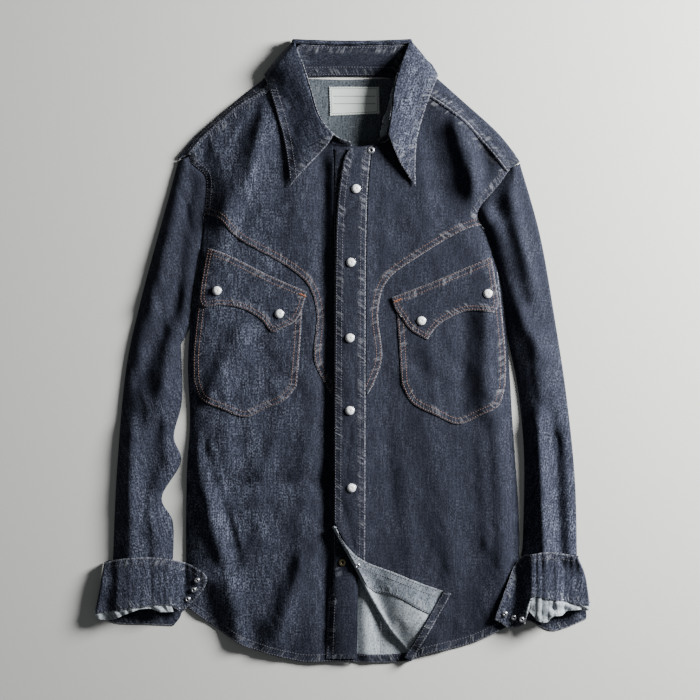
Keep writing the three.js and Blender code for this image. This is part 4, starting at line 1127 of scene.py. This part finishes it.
rows += double_row(armhole_right, yoke_tops["right"], -1) + double_row(armhole_left, yoke_tops["left"], -1)
stitches("stitches_shoulders", rows, navy_thread, "the shoulders and armholes")
rows = double_row(wing_edge_right[3:-8], lambda x, y: under_right(x, y) + LEAF, -1, (1.5 * MM, 8.5 * MM))
rows += double_row(wing_edge_left[8:-3], lambda x, y: under_left(x, y) + LEAF, -1, (1.5 * MM, 8.5 * MM))
rows += double_row(wing_front_right[3:-3], lambda x, y: under_right(x, y) + LEAF, 1, (1.5 * MM,))
rows += double_row(wing_front_left[3:-3], lambda x, y: under_left(x, y) + LEAF, 1, (1.5 * MM,))
rows += [stand[row, 40:-40, :3] + (0, 0, 0.2 * MM) for row in (1, 4, 12)]
stitches("stitches_collar", rows, navy_thread, "the collar")
rows = []
for side, lines in CUFFS.items():
    end = lines[3] if side == "right" else lines[2]
    rows += double_row(lines[1], cuff_tops[side], -1)
    rows += double_row(end, cuff_tops[side], 1 if side == "right" else -1, (2 * MM,))
stitches("stitches_cuffs", rows, navy_thread, "the cuffs")

# %% [markdown]
# ## Label and snaps
# The label inside the neck is a woven tape, sewn down all round. It has a plain border and a few rules,
# and no words. A snap is turned from its profile about its own axis: a cap has a pearl dome in a nickel
# rim, and what shows on a cuff or inside the corner is a socket, a ring with a hollow middle.

# %% The neck label
label_tape, tree, shader = finish("woven_label_tape", Base_Color=linear("#c4ccc6"), Roughness=0.7)
label_seam = add(tree, "SeparateXYZ", inputs={0: add(tree, "UVMap", {"uv_map": "seam"}).outputs[0]})
label_grain = add(tree, "SeparateXYZ", inputs={0: add(tree, "UVMap", {"uv_map": "grain"}).outputs[0]})


def line_at(value, place, half):
    """1 where a value is within half a width of a place, and 0 elsewhere."""
    settings = {"operation": "COMPARE"}
    return add(tree, "Math", settings, {0: value, 1: place, 2: half}).outputs[0]


border = line_at(label_seam.outputs[1], 2.6 * MM, 0.3 * MM)
rules = [line_at(label_grain.outputs[1], at([0, row])[1], 0.35 * MM) for row in (96.5, 104)]
away_from_border = add(tree, "Math", {"operation": "GREATER_THAN"}, {0: label_seam.outputs[1], 1: 5 * MM}).outputs[0]
rule = add(tree, "Math", {"operation": "MAXIMUM"}, {0: rules[0], 1: rules[1]}).outputs[0]
rule = add(tree, "Math", {"operation": "MULTIPLY"}, {0: rule, 1: away_from_border}).outputs[0]
drawn = add(tree, "Math", {"operation": "MAXIMUM"}, {0: border, 1: rule}).outputs[0]
tape = add(tree, "Mix", {"data_type": "RGBA"}, {0: drawn, 6: linear("#dde6df"), 7: linear("#4c5550")})
tree.links.new(tape.outputs[2], shader.inputs["Base Color"])
ribs = add(tree, "TexWave", inputs={
    "Vector": add(tree, "UVMap", {"uv_map": "grain"}).outputs[0], "Scale": 0.314 / (1.0 * MM), "Distortion": 0.6,
})
bump = add(tree, "Bump", inputs={"Height": ribs.outputs[1], "Distance": 0.12 * MM, "Strength": 0.6})
tree.links.new(bump.outputs[0], shader.inputs["Normal"])
label_lines = [straight([330, 116], [379.5, 114]), straight([329, 87], [379, 87])]
label_plan = patch(*label_lines, straight([330, 116], [329, 87]), straight([379.5, 114], [379, 87]), 1.5 * MM)
x, y = label_plan[..., 0], label_plan[..., 1]
label_height = 2.3 * MM + 0.25 * MM * np.sin(x / (8 * MM)) * np.cos(y / (13 * MM))
label_outline = straight([329, 87], [330, 116], [379.5, 114], [379, 87], [329, 87])
label_grid = measured(label_plan, label_height, 0, [label_outline])
label = piece(
    "neck_label", [label_grid], ["neck_label"], finishes=(label_tape, label_tape), wall=0.6 * MM,
)
label_row = np.column_stack([even(label_outline, 3 * MM), np.full(len(even(label_outline, 3 * MM)), 2.4 * MM)])
label_row[:, :2] = label_row[:, :2] * 0.975 + label_row[:, :2].mean(0) * 0.025
stitches("stitches_label", [label_row], navy_thread, "the label", thickness=0.3 * MM)

# %% Pearl, nickel and brass
pearl = finish("pearl_cap", Base_Color=linear("#f3f4f6"), Roughness=0.18, Coat_Weight=0.6, Coat_Roughness=0.08)[0]
nickel = finish("nickel_plate", Base_Color=linear("#e2e4e8"), Metallic=1.0, Roughness=0.34)[0]
brass = finish("aged_brass", Base_Color=linear("#8a8062"), Metallic=1.0, Roughness=0.42)[0]


def turned_fitting(node, centre, height, profile, finishes, rim_from=99, sides=36):
    """A closed profile of radius and height in mm carried round an upright axis:
    x = r cos a, y = r sin a, z = h. Rows from rim_from on take the second finish."""
    r, h = (np.array(profile) * MM).T
    angle = np.linspace(0, 2 * np.pi, sides, endpoint=False)[None]
    points = np.stack([
        centre[0] + r[:, None] * np.cos(angle), centre[1] + r[:, None] * np.sin(angle), height + h[:, None] + 0 * angle
    ], -1).reshape(-1, 3)
    row, column = np.arange(len(r))[:, None] * sides, np.arange(sides)[None]
    row_after, after = (row + sides) % len(points), (column + 1) % sides
    faces = np.stack([row + column, row_after + column, row_after + after, row + after], -1).reshape(-1, 4)
    mesh = bpy.data.meshes.new(f"turned_{node}")
    mesh.from_pydata(points.tolist(), [], faces.tolist())
    mesh.polygons.foreach_set("material_index", np.repeat(np.arange(len(r)) >= rim_from, sides).astype(np.int32))
    mesh.shade_smooth()
    for material in finishes:
        mesh.materials.append(material)
    obj = bpy.data.objects.new(f"turned_{node}", mesh)
    bpy.context.scene.collection.objects.link(obj)
    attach(obj, "root")
    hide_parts(node)


def rest_on(surface, centre, radius):
    """Height at which a round fitting clears the cloth under it, sunk in by a tenth of a millimetre."""
    turn = np.linspace(0, 2 * np.pi, 12, endpoint=False)
    x, y = centre[0] + radius * np.cos(turn), centre[1] + radius * np.sin(turn)
    return surface(np.append(x, centre[0]), np.append(y, centre[1])).max() - 0.1 * MM


# %% Snap caps, sockets and the stud
CAP = [(0.05, 2.95), (2, 2.86), (3.6, 2.5), (4.7, 1.9), (5.25, 1.3), (5.3, 1.25), (5.65, 1.5), (5.95, 1.2), (5.9, 0.4),
       (5.2, 0), (0.05, 0)]
SOCKET = [(1.7, 0.1), (1.75, 1.0), (2.2, 1.4), (3.0, 1.15), (3.5, 0.75), (4.0, 1.0), (4.4, 0.85), (4.6, 0.4), (4.4, 0)]
caps = {f"placket_snap_{i + 1}": (pixel, yoke_tops["left"]) for i, pixel in enumerate(
    [(356, 190), (351, 263), (350, 338), (350, 410), (351.6, 486.7)])}
caps |= {f"flap_snap_right_{i + 1}": (pixel, on_right(THIRD)) for i, pixel in enumerate([(218, 291), (280, 314)])}
caps |= {f"flap_snap_left_{i + 1}": (pixel, on_left(THIRD)) for i, pixel in enumerate([(421, 321), (487, 294)])}
for node, (pixel, surface) in caps.items():
    centre = at(pixel)
    turned_fitting(node, centre, rest_on(surface, centre, 6 * MM), CAP, (pearl, nickel), 5)
sockets = {
    "neck_snap": ((371, 151.5), yoke_tops["left"], 1, nickel),
    "under_placket_stud": ((342.5, 561), on_right(SECOND), 1, brass),
    "corner_socket": ((357.5, 563.5), lambda x, y: corner_top(x, y) + 0.4 * MM, 0.8, nickel),
}
for side, pixels in {"right": [(198, 579), (194.5, 588.5), (188.5, 598)], "left": [(504, 612), (513, 616), (520.5, 617)]}.items():
    for i, pixel in enumerate(pixels):
        sockets[f"cuff_snap_{side}_{i + 1}"] = (pixel, cuff_tops[side], 0.75, nickel)
for node, (pixel, surface, size, metal) in sockets.items():
    centre = at(pixel)
    profile = np.array(SOCKET) * (size, 1)
    turned_fitting(node, centre, rest_on(surface, centre, 4.6 * size * MM), profile, (metal, metal))
print(len(caps), "caps and", len(sockets), "sockets")

# %% [markdown]
# ## Floor, light and camera
# The photograph was taken from straight above in daylight from a window on the right, with the far side
# of each fold in deep shade. One large soft light low on the right does this, and the sky fills the shade.

# %% Floor, light and camera
floor_finish, _, _ = finish("pale_floor", Base_Color=linear("#d9d9d5"), Roughness=0.95)
floor_mesh = bpy.data.meshes.new("floor")
FLOOR = 6.0
floor_mesh.from_pydata([(-FLOOR, -FLOOR, 0), (FLOOR, -FLOOR, 0), (FLOOR, FLOOR, 0), (-FLOOR, FLOOR, 0)], [], [(0, 1, 2, 3)])
floor = bpy.data.objects.new("floor", floor_mesh)
floor_mesh.materials.append(floor_finish)
bpy.context.scene.collection.objects.link(floor)

window = bpy.data.objects.new("window", bpy.data.lights.new("window", "AREA"))
window.data.shape, window.data.size, window.data.energy = "DISK", 0.6, 118
window.location = (1.45, 0.62, 0.75)
bpy.context.scene.collection.objects.link(window)
aim = Vector((0, 0, 0)) - window.location
window.rotation_euler = aim.to_track_quat("-Z", "Y").to_euler()

world = bpy.data.worlds.new("sky")
world.use_nodes = True
world.node_tree.nodes["Background"].inputs["Color"].default_value = (0.93, 0.97, 1.0, 1.0)
world.node_tree.nodes["Background"].inputs["Strength"].default_value = 0.09
bpy.context.scene.world = world

CAMERA_HEIGHT = 2.2
FRAME_WIDTH = 700 * PIXEL
camera = bpy.data.objects.new("camera", bpy.data.cameras.new("camera"))
camera.location = (*at([350, 350]), CAMERA_HEIGHT)
camera.data.sensor_width = 36
camera.data.lens = 36 * CAMERA_HEIGHT / FRAME_WIDTH
bpy.context.scene.collection.objects.link(camera)
bpy.context.scene.camera = camera
print("camera", [round(v, 3) for v in camera.location], "lens", round(camera.data.lens, 1), "mm")
